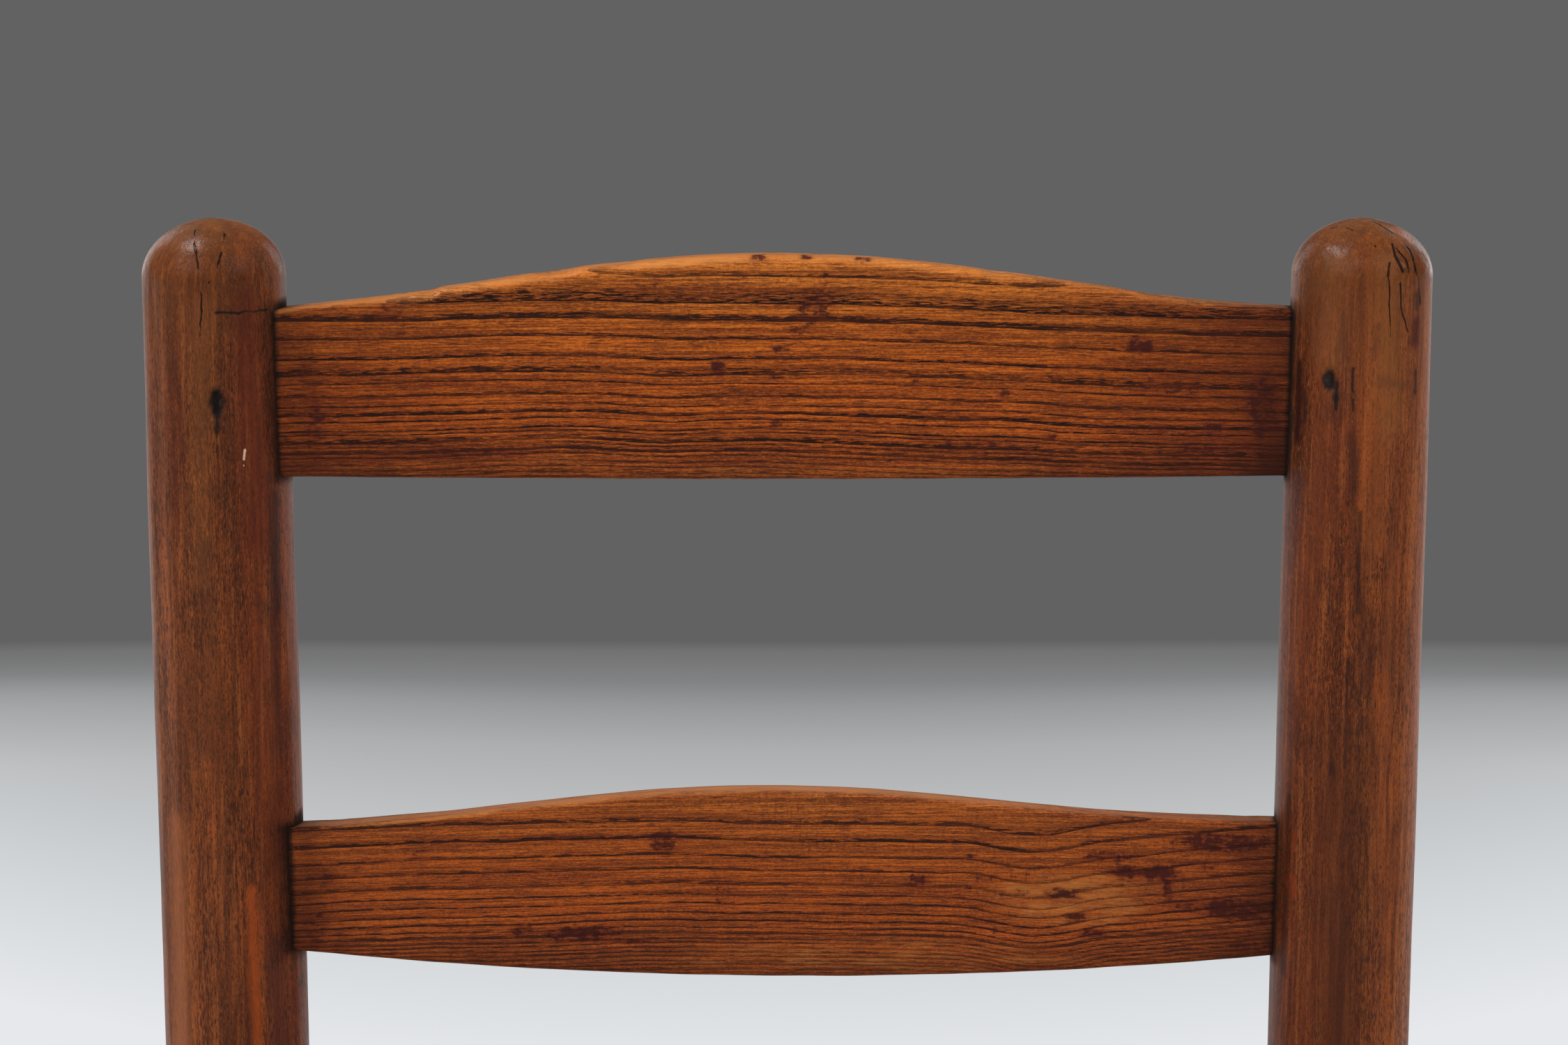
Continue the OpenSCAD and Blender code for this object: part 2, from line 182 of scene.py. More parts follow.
# Materials
RING_LOW = 1.8 * MM
RING_EVEN = 20 * MM
RING_GROWTH = 0.13
ZONE_HALF = 24 * MM


def srgb(red, green, blue):
    """A colour as it is seen on screen, 0 to 255, as the linear values that nodes take."""
    def linear(v):
        v /= 255
        return v / 12.92 if v <= 0.04045 else ((v + 0.055) / 1.055) ** 2.4
    return (linear(red), linear(green), linear(blue), 1.0)


class Tree:
    """A node tree, with short calls for the nodes that its patterns are made of."""

    def __init__(self, tree):
        self.nodes, self.links = tree.nodes, tree.links
        self.nodes.clear()

    def feed(self, socket, value):
        if isinstance(value, bpy.types.NodeSocket):
            self.links.new(value, socket)
        else:
            socket.default_value = value

    def node(self, kind, *values, **settings):
        """A new node of a kind, whose first inputs take values."""
        made = self.nodes.new("ShaderNode" + kind)
        for name, setting in settings.items():
            setattr(made, name, setting)
        for socket, value in zip(made.inputs, values):
            self.feed(socket, value)
        return made

    def math(self, operation, *values, clamp=False):
        return self.node("Math", *values, operation=operation, use_clamp=clamp).outputs[0]

    def vector_math(self, operation, *values):
        return self.node("VectorMath", *values, operation=operation)

    def total(self, *values):
        result = values[0]
        for value in values[1:]:
            result = self.math("ADD", result, value)
        return result

    def product(self, *values):
        result = values[0]
        for value in values[1:]:
            result = self.math("MULTIPLY", result, value)
        return result

    def step(self, value, low, high, start=0.0, end=1.0):
        """start below low, end above high, and a smooth curve between."""
        return self.node("MapRange", value, low, high, start, end, interpolation_type="SMOOTHSTEP").outputs[0]

    def under(self, value, low, high):
        """1 below low, 0 above high."""
        return self.step(value, low, high, 1.0, 0.0)

    def attribute(self, name, output="Fac"):
        return self.node("Attribute", attribute_name=name).outputs[output]

    def split(self, vector):
        return tuple(self.node("SeparateXYZ", vector).outputs)

    def join(self, x, y, z):
        return self.node("CombineXYZ", x, y, z).outputs[0]

    def noise(self, vector, detail=2.0, rough=0.5, distortion=0.0):
        made = self.node("TexNoise", vector)
        values = {"Scale": 1.0, "Detail": detail, "Roughness": rough, "Distortion": distortion}
        for name, value in values.items():
            made.inputs[name].default_value = value
        return made.outputs[0]

    def centred(self, value, reach):
        """Noise from 0 to 1, made to swing by half of reach to either side of 0."""
        return self.math("MULTIPLY", self.math("SUBTRACT", value, 0.5), reach)

    def mix(self, factor, first, second):
        """A colour between two. A Mix node's colour sockets are its inputs 6 and 7 and its output 2."""
        made = self.node("Mix", data_type="RGBA")
        for place, value in ((0, factor), (6, first), (7, second)):
            self.feed(made.inputs[place], value)
        return made.outputs[2]

    def ramp(self, value, stops):
        """A colour that follows value from 0 to 1 through stops of (place, colour)."""
        made = self.node("ValToRGB", value)
        elements = made.color_ramp.elements
        elements[0].position, elements[0].color = stops[0]
        elements[-1].position, elements[-1].color = stops[-1]
        for place, color in stops[1:-1]:
            elements.new(place).color = color
        return made.outputs[0]

    def distance_to(self, vector, a, b):
        """Distance from vector to the segment from a to b."""
        a, b = Vector(a), Vector(b)
        line = b - a
        offset = self.vector_math("SUBTRACT", vector, a).outputs[0]
        reach = self.vector_math("DOT_PRODUCT", offset, line).outputs["Value"]
        scaled = self.vector_math("SCALE", line)
        self.feed(scaled.inputs["Scale"], self.math("DIVIDE", reach, line.dot(line), clamp=True))
        away = self.vector_math("SUBTRACT", offset, scaled.outputs[0]).outputs[0]
        return self.vector_math("LENGTH", away).outputs["Value"]


class Shader(Tree):
    """One node material. place is where its patterns are looked up, and color is its colour so far."""

    def __init__(self, name, seed=0.0):
        self.seed = seed
        self.material = bpy.data.materials.new(name)
        self.material.use_nodes = True
        super().__init__(self.material.node_tree)
        self.surface = self.node("BsdfPrincipled")
        self.output = self.node("OutputMaterial", self.surface.outputs[0])

    def waves(self, scale, seed=0.0, **kind):
        """Noise with scale waves to the metre along x, y and z. No two seeds give the same pattern."""
        seed += self.seed
        shift = (seed, seed * 0.7, seed * 1.3)
        return self.noise(self.vector_math("MULTIPLY_ADD", self.place, scale, shift).outputs[0], **kind)

    def set(self, **values):
        for name, value in values.items():
            self.feed(self.surface.inputs[name.replace("_", " ")], value)

    def tint(self, rgb, *shares):
        """Lays a colour, as srgb takes it, over the colour so far, by the product of shares."""
        self.color = self.mix(self.product(*shares), self.color, srgb(*rgb))

    def layers(self, *rows):
        """Tints by rows of (colour, pattern, from, to, strength): none up to from, and all of it past to."""
        for rgb, pattern, start, end, strength in rows:
            share = self.step(pattern, start, end) if start < end else self.under(pattern, end, start)
            self.tint(rgb, share, strength)

    def bump(self, height, distance):
        made = self.node("Bump")
        made.inputs["Strength"].default_value = 1.0
        made.inputs["Distance"].default_value = distance
        self.feed(made.inputs["Height"], height)
        self.feed(self.surface.inputs["Normal"], made.outputs[0])


def local(place):
    """A place on a rear post, across, back and up from the bend in mm, in the post's grain coordinates."""
    across, back, up = place
    return (up * MM, across * MM, back * MM)


TONE_TOP = 80
TONES = [
    # height above the lower edge, in mm, and the colour there
    (0, (164, 88, 38)), (9, (165, 81, 28)), (24, (190, 88, 20)), (45, (190, 91, 20)), (60, (192, 100, 28)),
    (TONE_TOP, (214, 126, 48)),
]


def ash(name, slat, drift, seed, dip, rise, crest_wear_and_highlight):
    """Stained ash: broken dark lines of pores along the growth rings, over amber wood with stains.
    drift is how far the rings fall from left to right. dip is (x, depth): where they sink to a shallow V.
    rise is how far they climb to the right of it.
    The crest tint is the upper edge's colour: partly wear and partly a painted highlight where light from
    above falls on it."""
    sh = Shader(name, seed)
    sh.place = sh.attribute("grain", "Vector")
    along, deep, up = sh.split(sh.place)

    wander = sh.centred(sh.waves((9, 9, 16), detail=1), 5 * MM)
    wave = sh.centred(sh.waves((45, 45, 60), 3, detail=2), 1.6 * MM)
    beside = sh.math("ABSOLUTE", sh.math("SUBTRACT", along, dip[0]))
    sink = sh.total(
        sh.step(along, -60 * MM, 110 * MM, 0.0, drift),
        sh.step(beside, 0.0, 26 * MM, dip[1], 0.0),
        sh.step(along, dip[0] + 6 * MM, 175 * MM, 0.0, -rise))
    height = sh.total(up, wander, sink, wave, sh.math("MULTIPLY", deep, -0.8), -(slat.base - slat.belly))

    # The rings are RING_LOW apart up to RING_EVEN above the lower edge, and grow wider above that.
    fineness = 1.0 if slat is TOP_SLAT else 0.8
    scaled = sh.product(height, 1 / fineness)
    low = sh.math("MINIMUM", scaled, RING_EVEN)
    high = sh.math("MAXIMUM", sh.math("SUBTRACT", scaled, RING_EVEN), 0.0)
    spacing = sh.math("MULTIPLY_ADD", high, RING_GROWTH, RING_LOW)
    growth = sh.math("LOGARITHM", sh.math("DIVIDE", spacing, RING_LOW), math.e)
    rings = sh.math("MULTIPLY", growth, 1 / RING_GROWTH)
    rings = sh.total(rings, sh.math("DIVIDE", low, RING_LOW), 40.0)
    uneven = sh.noise(sh.join(sh.product(rings, 0.85), seed, 0.0), detail=1)
    rings = sh.total(rings, sh.product(uneven, 1.6))
    above = sh.product(sh.math("FRACT", rings), spacing, fineness)
    band = sh.math("MULTIPLY_ADD", spacing, 0.06 * fineness, 0.85 * MM * fineness)

    dashes = sh.waves((185, 420, 2300), 5, detail=5, rough=0.7)
    patchy = sh.step(sh.waves((30, 60, 260), 12, detail=2), 0.34, 0.54, 0.62, 1.0)
    whose = sh.noise(sh.join(sh.product(sh.math("FLOOR", rings), 3.71), seed + 7, 0.0), detail=0)
    patchy = sh.product(patchy, sh.step(whose, 0.35, 0.6, 0.8, 1.0))
    share = sh.math("DIVIDE", above, band)
    near_ring = sh.product(sh.step(above, 0.0, 0.08 * MM), sh.under(share, 0.85, 1.25))
    thinning = sh.math("MULTIPLY_ADD", share, -0.17, 0.03)
    fading = sh.step(height, 2 * MM, 24 * MM, 0.66, 1.0)
    pores = sh.product(near_ring, fading, sh.step(sh.total(dashes, thinning), 0.398, 0.432), patchy)
    glow = sh.product(sh.under(share, 0.3, 2.4), patchy)
    fine = sh.waves((190, 700, 3600), 9, detail=2)
    stray = sh.product(sh.step(fine, 0.530, 0.605), sh.step(dashes, 0.40, 0.58, 0.35, 1.0))
    grit = sh.waves((900, 900, 2600), 51, detail=3, rough=0.7)

    fibre = sh.waves((22, 150, 1500), 15, detail=4, rough=0.7)
    streak = sh.waves((7, 40, 170), 21, detail=3)
    blotch = sh.waves((20, 24, 60), 27, detail=4, rough=0.6)
    level = sh.total(height, sh.centred(blotch, 18 * MM))
    stops = [(place / TONE_TOP, srgb(*rgb)) for place, rgb in TONES]
    sh.color = sh.ramp(sh.math("DIVIDE", level, TONE_TOP * MM), stops)
    hatch = sh.waves((1500, 300, 240), 31, detail=2)
    where = sh.step(blotch, 0.42, 0.66, 0.05, 0.44)
    sh.layers(
        ((188, 94, 28), streak, 0.50, 0.72, 0.5), ((112, 40, 15), streak, 0.48, 0.34, 0.55),
        ((98, 42, 14), fibre, 0.42, 0.58, 0.74), ((207, 110, 36), fibre, 0.44, 0.32, 0.45),
        ((112, 48, 14), hatch, 0.50, 0.66, where))
    sh.tint((88, 34, 13), sh.step(grit, 0.44, 0.64, 0.0, 0.44))
    sh.tint((220, 130, 48), sh.step(grit, 0.34, 0.50, 0.28, 0.0))
    ragged_right = sh.total(along, sh.centred(blotch, 60 * MM), sh.centred(streak, 70 * MM))
    ragged_left = sh.total(along, sh.centred(blotch, 40 * MM), sh.centred(streak, 40 * MM))
    dull = sh.step(ragged_right, 55 * MM, 150 * MM, 0.0, 0.60)
    left_end = sh.step(ragged_left, -150 * MM, -80 * MM, 0.44, 0.0)
    sh.tint((80, 25, 6), sh.total(dull, left_end), 1.0 if slat is TOP_SLAT else 0.3)

    # Paler where worn; along the upper front edge this is partly wear and partly a painted highlight on the
    # arris.
    wear = sh.attribute("wear")
    flaked = sh.waves((70, 260, 420), 45, detail=4, rough=0.7)
    worn = sh.step(sh.total(wear, sh.centred(flaked, 0.9), sh.centred(fibre, 0.5)), 0.34, 0.80)
    sh.tint((200, 126, 60), worn, 0.70)
    sh.tint((92, 34, 12), glow, sh.step(wear, 0.2, 0.8, 0.46, 0.08))
    sh.tint((60, 25, 14), stray, sh.step(wear, 0.2, 0.8, 0.80, 0.3))
    sh.tint((31, 14, 11), pores, sh.step(wear, 0.2, 0.8, 1.0, 0.45))
    # The upper face is paler, partly from wear and partly a painted highlight of light from above; it darkens
    # towards its back edge.
    crest = sh.attribute("crest")
    sh.tint(crest_wear_and_highlight, crest, sh.step(sh.total(flaked, sh.centred(fibre, 0.5)), 0.3, 0.6, 0.40, 0.86))
    behind = sh.total(deep, sh.centred(flaked, 5 * MM))
    sh.tint((66, 42, 34), crest, sh.step(behind, 1.5 * MM, 5.5 * MM, 0.0, 0.75))
    if slat is LOWER_SLAT:
        sh.tint((84, 46, 40), 0.16)
    stain = sh.attribute("stain")
    speckle = sh.waves((230, 330, 820), 35, detail=5, rough=0.75)
    blob = sh.waves((380, 420, 560), 61, detail=2)
    ragged = sh.total(sh.product(stain, 0.84), sh.centred(speckle, 2.0), sh.centred(blob, 1.4),
                      sh.centred(hatch, 0.35))
    sh.tint((94, 32, 15), sh.math("MINIMUM", stain, 1.0), 0.4)
    inside = sh.math("MINIMUM", sh.product(stain, 3.0), 1.0)
    sh.tint((58, 19, 17), sh.step(ragged, 0.38, 0.84), inside, 0.88)
    # Painted shade: darker where the slat goes into a post and along its lower edge, broken up by noise.
    shade = sh.attribute("shade")
    shade_breakup = sh.waves((90, 60, 34), 41, detail=3)
    sh.tint((57, 21, 8), shade, sh.step(shade_breakup, 0.34, 0.62, 0.45, 1.0))
    # Dirt and painted shade in the gap where the slat goes into a post.
    dirt = sh.attribute("dirt")
    sh.tint((18, 11, 7), dirt)
    rough = sh.total(sh.step(fibre, 0.3, 0.75, 0.38, 0.54), sh.product(dirt, 0.4))
    sh.set(Base_Color=sh.color, Roughness=rough, Specular_IOR_Level=0.12)
    relief = sh.total(sh.product(pores, -1.0), sh.product(fibre, 0.4), sh.product(blotch, 0.9),
                      sh.product(hatch, 0.12))
    sh.bump(relief, 0.16 * MM)
    return sh.material


def beech(name, seed, zones, cracks=(), marks=(), polished=10.0):
    """Stained beech: short dark flecks along the grain over reddish brown wood, with bands and smudges.
    zones are (x, colour) across the piece, and cracks and marks are as in the tables for the rear posts.
    Hands have polished the last centimetres below the length polished, which no piece reaches by default."""
    sh = Shader(name, seed)
    sh.place = sh.attribute("grain", "Vector")
    along, across, _ = sh.split(sh.place)

    flecks = sh.waves((430, 2800, 2800), detail=2)
    coarse = sh.waves((240, 1500, 1500), 33, detail=2)
    dense = sh.waves((11, 95, 95), 4, detail=2)
    fleck = sh.math("MAXIMUM", sh.step(sh.total(flecks, sh.centred(dense, 0.36)), 0.575, 0.645),
                    sh.step(sh.total(coarse, sh.centred(dense, 0.5)), 0.61, 0.68))
    mottle = sh.waves((110, 420, 420), 29, detail=4, rough=0.7)
    rings = sh.math("FRACT", sh.product(sh.waves((6, 46, 46), 37, detail=1), 11.0))
    ring_line = sh.under(sh.math("ABSOLUTE", sh.math("SUBTRACT", rings, 0.5)), 0.02, 0.16)
    fibre = sh.waves((30, 900, 900), 7, detail=4, rough=0.7)
    pale = sh.waves((300, 2400, 2400), 9, detail=2)
    bands = sh.waves((6, 120, 120), 11, detail=3, rough=0.6)
    slow = sh.waves((10, 30, 30), 17, detail=3)
    smudge = sh.waves((24, 60, 60), 23, detail=5, rough=0.65)

    sway = sh.total(sh.centred(slow, 14 * MM), sh.centred(bands, 8 * MM))
    share = sh.math("MULTIPLY_ADD", sh.total(across, sway), 0.5 / ZONE_HALF, 0.5)
    sh.color = sh.ramp(share, [((x * MM + ZONE_HALF) / (2 * ZONE_HALF), srgb(*rgb)) for x, rgb in zones])
    strands = sh.waves((17, 430, 430), 71, detail=3, rough=0.6)
    sh.layers(
        ((144, 69, 27), bands, 0.50, 0.70, 0.62), ((78, 27, 14), bands, 0.48, 0.34, 0.56),
        ((142, 68, 28), mottle, 0.50, 0.66, 0.34), ((66, 32, 17), mottle, 0.48, 0.34, 0.30),
        ((64, 31, 19), smudge, 0.50, 0.68, 0.50), ((74, 33, 16), fibre, 0.44, 0.66, 0.50),
        ((148, 78, 34), fibre, 0.44, 0.30, 0.40), ((66, 30, 15), strands, 0.50, 0.66, 0.42),
        ((156, 86, 40), strands, 0.48, 0.34, 0.36))
    sh.tint((58, 27, 15), ring_line, sh.step(slow, 0.36, 0.56, 0.0, 0.34))
    sh.tint((168, 104, 54), sh.step(pale, 0.58, 0.72), sh.step(dense, 0.36, 0.60), 0.36)
    grit = sh.waves((800, 1700, 1700), 51, detail=3, rough=0.7)
    sh.tint((52, 25, 15), sh.step(grit, 0.50, 0.70, 0.0, 0.50))
    sh.tint((172, 98, 50), sh.step(grit, 0.30, 0.48, 0.20, 0.0))
    sh.tint((43, 21, 13), fleck, 0.66)
    handled = sh.total(along, sh.centred(slow, 50 * MM))
    sh.tint((96, 54, 25), sh.step(handled, polished - 62 * MM, polished - 16 * MM, 0.0, 0.38))
    sh.tint((132, 86, 44), sh.attribute("wear"), 0.8)
    sh.tint((40, 18, 11), sh.attribute("shade"), 0.85)

    bend_along = sh.waves((90, 260, 260), 2, detail=4, rough=0.6)
    bend_across = sh.waves((130, 200, 200), 3, detail=4, rough=0.6)
    bend = sh.join(sh.centred(bend_along, 2.6 * MM), sh.centred(bend_across, 1.8 * MM),
                   sh.centred(bend_along, 1.0 * MM))
    bent = sh.vector_math("ADD", sh.place, bend).outputs[0]

    def near(a, b, solid, width):
        """1 close to the line between two places, to the share solid of width in mm, and 0 beyond width."""
        away = sh.distance_to(bent, local(a), local(b))
        return sh.under(away, solid * width * MM, width * MM)

    for a, b, width, rgb, strength in marks:
        sh.tint(rgb, near(a, b, 0.0 if width > 1.2 else 0.3, width), strength)
    depth = None
    for path, widths in cracks:
        for a, b, width in zip(path, path[1:], widths):
            line = near(a, b, 0.35, width)
            depth = line if depth is None else sh.math("MAXIMUM", depth, line)
    relief = sh.total(sh.product(fleck, -0.5), sh.product(fibre, 0.3), sh.product(slow, 1.8),
                      sh.product(smudge, 0.5))
    if depth is not None:
        sh.tint((22, 10, 6), depth, 0.94)
        relief = sh.total(relief, sh.product(depth, -5.0))
    # Dirt and painted shade round the slats' ends, and the stain round the nail holes.
    dirt = sh.attribute("dirt")
    sh.tint((18, 10, 7), dirt)
    shine = sh.step(along, polished - 30 * MM, polished - 12 * MM)
    dents = sh.waves((120, 130, 130), 61, detail=2)
    relief = sh.total(relief, sh.product(dents, shine, 5.0))
    rough = sh.total(sh.step(slow, 0.3, 0.7, 0.36, 0.46), sh.product(shine, -0.12), sh.product(dirt, 0.5))
    sh.set(Base_Color=sh.color, Roughness=rough, Specular_IOR_Level=0.14)
    sh.bump(relief, 0.13 * MM)
    return sh.material


def two_tone(name, scale, turn, dark, pale, rough, relief, distortion=0.0, **finish):
    """A material whose noise, with scale waves to the metre, turns it from dark to pale over the range turn.
    rough is one roughness, or two that it goes between, and relief is how far the noise stands out."""
    sh = Shader(name)
    sh.place = sh.node("TexCoord").outputs["Object"]
    pattern = sh.waves(scale, detail=4, distortion=distortion)
    color = sh.mix(sh.step(pattern, *turn), srgb(*dark), srgb(*pale))
    roughness = rough if isinstance(rough, float) else sh.step(pattern, 0.3, 0.7, *rough)
    sh.set(Base_Color=color, Roughness=roughness, **finish)
    sh.bump(pattern, relief)
    return sh.material


def rush():
    """Twisted rush: leaf strips that wind round each cord, straw-coloured with green and brown lengths."""
    sh = Shader("rush_cord")
    seed = 4.0
    length, turn, which = sh.split(sh.attribute("twist", "Vector"))
    own = sh.product(sh.noise(sh.join(sh.product(which, 5.3), seed, 0.0), detail=0), 60.0)
    slack = sh.noise(sh.join(sh.product(length, 38.0), sh.product(which, 1.9), seed + 2), detail=1)
    wound = sh.total(sh.product(turn, 2 * math.tau), sh.product(length, math.tau / RUSH_LAY), own)
    strip = sh.math("SINE", sh.total(wound, sh.product(slack, 5.0)))
    down_leaf = sh.total(sh.product(length, 60.0), sh.product(turn, 1.0))
    over_leaf = sh.total(sh.product(turn, 9.0), sh.product(length, 530.0))
    fibre = sh.noise(sh.join(down_leaf, over_leaf, sh.product(which, 3.7)), detail=3)
    tone = sh.noise(sh.join(sh.product(length, 14.0), sh.product(which, 2.3), seed), detail=3)
    sh.color = sh.mix(sh.step(tone, 0.32, 0.70), srgb(132, 98, 54), srgb(190, 154, 98))
    sh.tint((104, 76, 42), sh.step(fibre, 0.40, 0.68), 0.55)
    # Painted shade in the grooves between the twisted strips.
    sh.tint((62, 44, 24), sh.step(strip, -1.0, -0.62, 0.6, 0.0))
    sh.tint((40, 28, 16), sh.attribute("shade"), 0.8)
    sh.set(Base_Color=sh.color, Roughness=0.62, Specular_IOR_Level=0.35)
    sh.bump(sh.total(sh.product(strip, 0.6), sh.product(fibre, 0.9)), 0.7 * MM)
    return sh.material


# Meshes
def grid_mesh(name, rings, material, **attributes):
    """A closed mesh through rings of points. Each attribute has a number or a vector for each point."""
    count = len(rings[0])
    points = [p for ring in rings for p in ring]
    faces = []
    for i in range(len(rings) - 1):
        for j in range(count):
            k = (j + 1) % count
            faces.append((i * count + j, i * count + k, (i + 1) * count + k, (i + 1) * count + j))
    faces.append(tuple(reversed(range(count))))
    faces.append(tuple((len(rings) - 1) * count + j for j in range(count)))
    return mesh_piece(name, points, faces, material, attributes)


def mesh_piece(name, points, faces, material, attributes):
    mesh = bpy.data.meshes.new(name)
    mesh.from_pydata(points, [], faces)
    fill_attributes(mesh, attributes)
    mesh.polygons.foreach_set("use_smooth", [True] * len(mesh.polygons))
    mesh.materials.append(material)
    mesh.update()
    piece = bpy.data.objects.new(name, mesh)
    bpy.context.scene.collection.objects.link(piece)
    return piece


def fill_attributes(mesh, attributes):
    for name, values in attributes.items():
        if isinstance(values[0], (int, float)):
            mesh.attributes.new(name, "FLOAT", "POINT").data.foreach_set("value", values)
        else:
            flat = [c for v in values for c in v]
            mesh.attributes.new(name, "FLOAT_VECTOR", "POINT").data.foreach_set("vector", flat)


def wobble(point, scale, seed):
    """Slow noise from -1 to 1 at a point in metres, scale waves to the metre."""
    return noise.noise(Vector(point) * scale + Vector((seed, seed * 1.7, seed * 0.3)))


def lumps(point, scale, seed):
    """Slow noise as in wobble, from 0 to 1."""
    return 0.5 + 0.5 * wobble(point, scale, seed)


def patch(x, s, patches):
    """How deep a place lies in the strongest of several soft ellipses.
    Each is (x, s, half width, half height, strength), in mm."""
    value = 0.0
    for px, ps, half_w, half_h, strength in patches:
        away = math.hypot((x / MM - px) / half_w, (s / MM - ps) / half_h)
        value = max(value, strength * fall(0.35, 1.15, away))
    return value


# Slats
TOP_STAINS = [
    # x and height up the back, half width and half height, in mm, and strength
    (-139.5, 316, 5, 1.3, 0.66), (-129, 310, 2.5, 0.9, 0.6), (-124, 312, 2, 1, 0.6),
    (-125.7, 333, 5, 5, 0.5), (-108, 315.6, 2.2, 1.4, 0.55), (-60.6, 297.5, 4, 1.8, 0.62),
    (-152, 316, 4, 2.4, 0.5), (-22.5, 315, 4, 2.2, 1.3), (8.7, 334.7, 7, 10, 0.72), (4, 327, 9, 3, 0.55),
    (12, 343, 5, 4, 0.5), (-4, 296.7, 4, 1.7, 1.25), (41, 311, 2.2, 1.3, 1.35), (69, 306, 3.4, 1.4, 1.25),
    (-86, 322, 12, 1.6, 0.4), (30, 329, 14, 1.6, 0.36), (-45, 342, 14, 2.4, 0.45), (104, 318, 6, 1.6, 0.55),
    (126, 309, 10, 3, 0.55), (118, 296, 5, 2, 0.55), (138, 327, 8, 2.4, 0.5), (151, 303, 7, 17, 0.85),
    (134, 289, 16, 3, 0.6), (60, 290, 22, 2.4, 0.5), (-100, 288, 24, 3, 0.5), (-2, 320, 4, 1.7, 0.95),
    (-6, 311.5, 6, 1.6, 0.85), (84, 292.5, 3, 1.3, 1.0), (-9.6, 349.6, 4, 1.6, 0.95),
    (5.7, 349.8, 3, 1.3, 0.95), (23.8, 349, 4, 1.4, 0.9), (112, 322, 7, 4, 0.95), (122, 309, 14, 5, 0.6),
    (58, 302, 12, 4, 0.5), (-150, 300, 5, 14, 0.6), (136, 296, 6, 4, 0.7),
]
LOWER_STAINS = [
    (88.9, 142.3, 9, 2.6, 1.1), (93.4, 134.5, 5.5, 2.4, 1.1), (99.3, 129.6, 6, 2.2, 0.95),
    (109.3, 149.8, 6.5, 3.6, 1.1), (119.8, 149.8, 9, 3.2, 1.15), (123.3, 144, 2.4, 6, 0.8),
    (146, 138.5, 18, 5, 1.02), (140, 160.5, 22, 4.6, 1.0), (104, 155, 12, 3, 0.75), (80, 148, 10, 2, 0.6),
    (62, 147, 9, 1.6, 0.6), (130, 139, 8, 2.2, 0.7), (150, 126, 12, 3, 0.7), (43.1, 146.2, 6, 4, 0.8),
    (58.3, 143.3, 2, 1.2, 0.8), (73, 142.2, 11, 1.5, 0.75), (67.6, 130, 2, 1.2, 0.8),
    (59, 154.5, 2, 1.2, 0.8), (-67.1, 129.6, 17, 4, 0.95), (-40.6, 159.7, 7, 6, 0.85),
    (-86, 131, 6, 3, 0.8), (-50, 127, 8, 2, 0.8), (-20, 143, 8, 9, 0.42), (22, 147, 6, 2.4, 0.55),
    (-148, 150, 5, 5, 0.5), (-100, 147, 3, 1.6, 0.6), (-120, 158, 8, 2.4, 0.42), (-152, 135, 7, 9, 0.5),
    (136, 152, 5, 2.4, 0.7),
]
# Rubbed, paler places, given like the stains.
TOP_RUBBED = [(10, 281, 95, 6, 0.40)]
LOWER_RUBBED = [(92, 141, 44, 15, 0.56), (25, 121, 130, 10, 0.47)]
TOP_CHIPS = [
    # where a bite out of the upper edge starts, is deepest and ends, and its depth, in mm
    (-142, -113, -109.5, 1.4), (-86, -72.5, -65, 1.2), (-62, -50, -46, 0.5), (111, 115, 124, 0.5),
    (60, 66, 70, 0.5), (92, 132, 156, 1.0),
]
LOWER_CHIPS = [(-152, -146, -142, 0.5), (140, 150, 153, 0.5)]


def slat_ring(slat, x, seed, chips, arris):
    """Points round a slat's section at x: (n, s, nearness to the upper front edge, share of upper face).
    Its corners' radii are ft and fl in front, bt and bl at the back."""
    half_t = SLAT_T / 2
    arris *= 1 - 0.5 * smooth(120 * MM, 152 * MM, abs(x))
    ragged = 0.35 * MM
    top = slat.top(x) - ragged * lumps((x, 0, 1), 55, seed)
    low = slat.bottom(x) + ragged * lumps((x, 0, 2), 70, seed + 5)
    mid = slat.middle(x)
    ft, bt, bl, fl = arris, 2.4 * MM, 2.2 * MM, 1.6 * MM
    face_steps, corner_steps, edge_steps = 30, 6, 4

    def line(a, b, steps):
        return [(a[0] + (b[0] - a[0]) * i / steps, a[1] + (b[1] - a[1]) * i / steps) for i in range(steps)]

    def corner(centre, r, start):
        angles = [math.radians(start - 90 * i / corner_steps) for i in range(corner_steps)]
        return [(centre[0] + r * math.cos(a), centre[1] + r * math.sin(a)) for a in angles]

    front, back = mid - half_t, mid + half_t
    points = line((front, low + fl), (front, top - ft), face_steps)
    points += corner((front + ft, top - ft), ft, 180)
    points += line((front + ft, top), (back - bt, top), edge_steps)
    points += corner((back - bt, top - bt), bt, 90)
    points += line((back, top - bt), (back, low + bl), face_steps // 2)
    points += corner((back - bl, low + bl), bl, 0)
    points += line((back - bl, low), (front + fl, low), edge_steps)
    points += corner((front + fl, low + fl), fl, -90)
    shaped = []
    for n, s in points:
        face = (n - mid) / half_t
        inward = 0.22 * MM * lumps((x, n, s), 38, seed + 9) + 0.06 * MM * lumps((x, n, s), 160, seed)
        near_edge = fall(0.2 * arris, 1.5 * arris, top - s) * fall(-0.9, 0.4, face)
        crest = fall(0, 0.7 * arris, top - s) * smooth(-0.95, -0.6, face)
        s_cut = 0.0
        for start, deepest, end, depth in chips:
            bite = smooth(start, deepest, x / MM) * fall(deepest, end, x / MM)
            rough = 0.75 + 0.5 * wobble((x, n, s), 400, seed)
            shallower = fall(1.0 * MM, 6 * MM, top - s) * (1 - 0.55 * smooth(-0.6, 1.0, face))
            s_cut += depth * MM * bite * rough * shallower
        shaped.append((n - face * inward, s - s_cut, near_edge, crest))
    return shaped


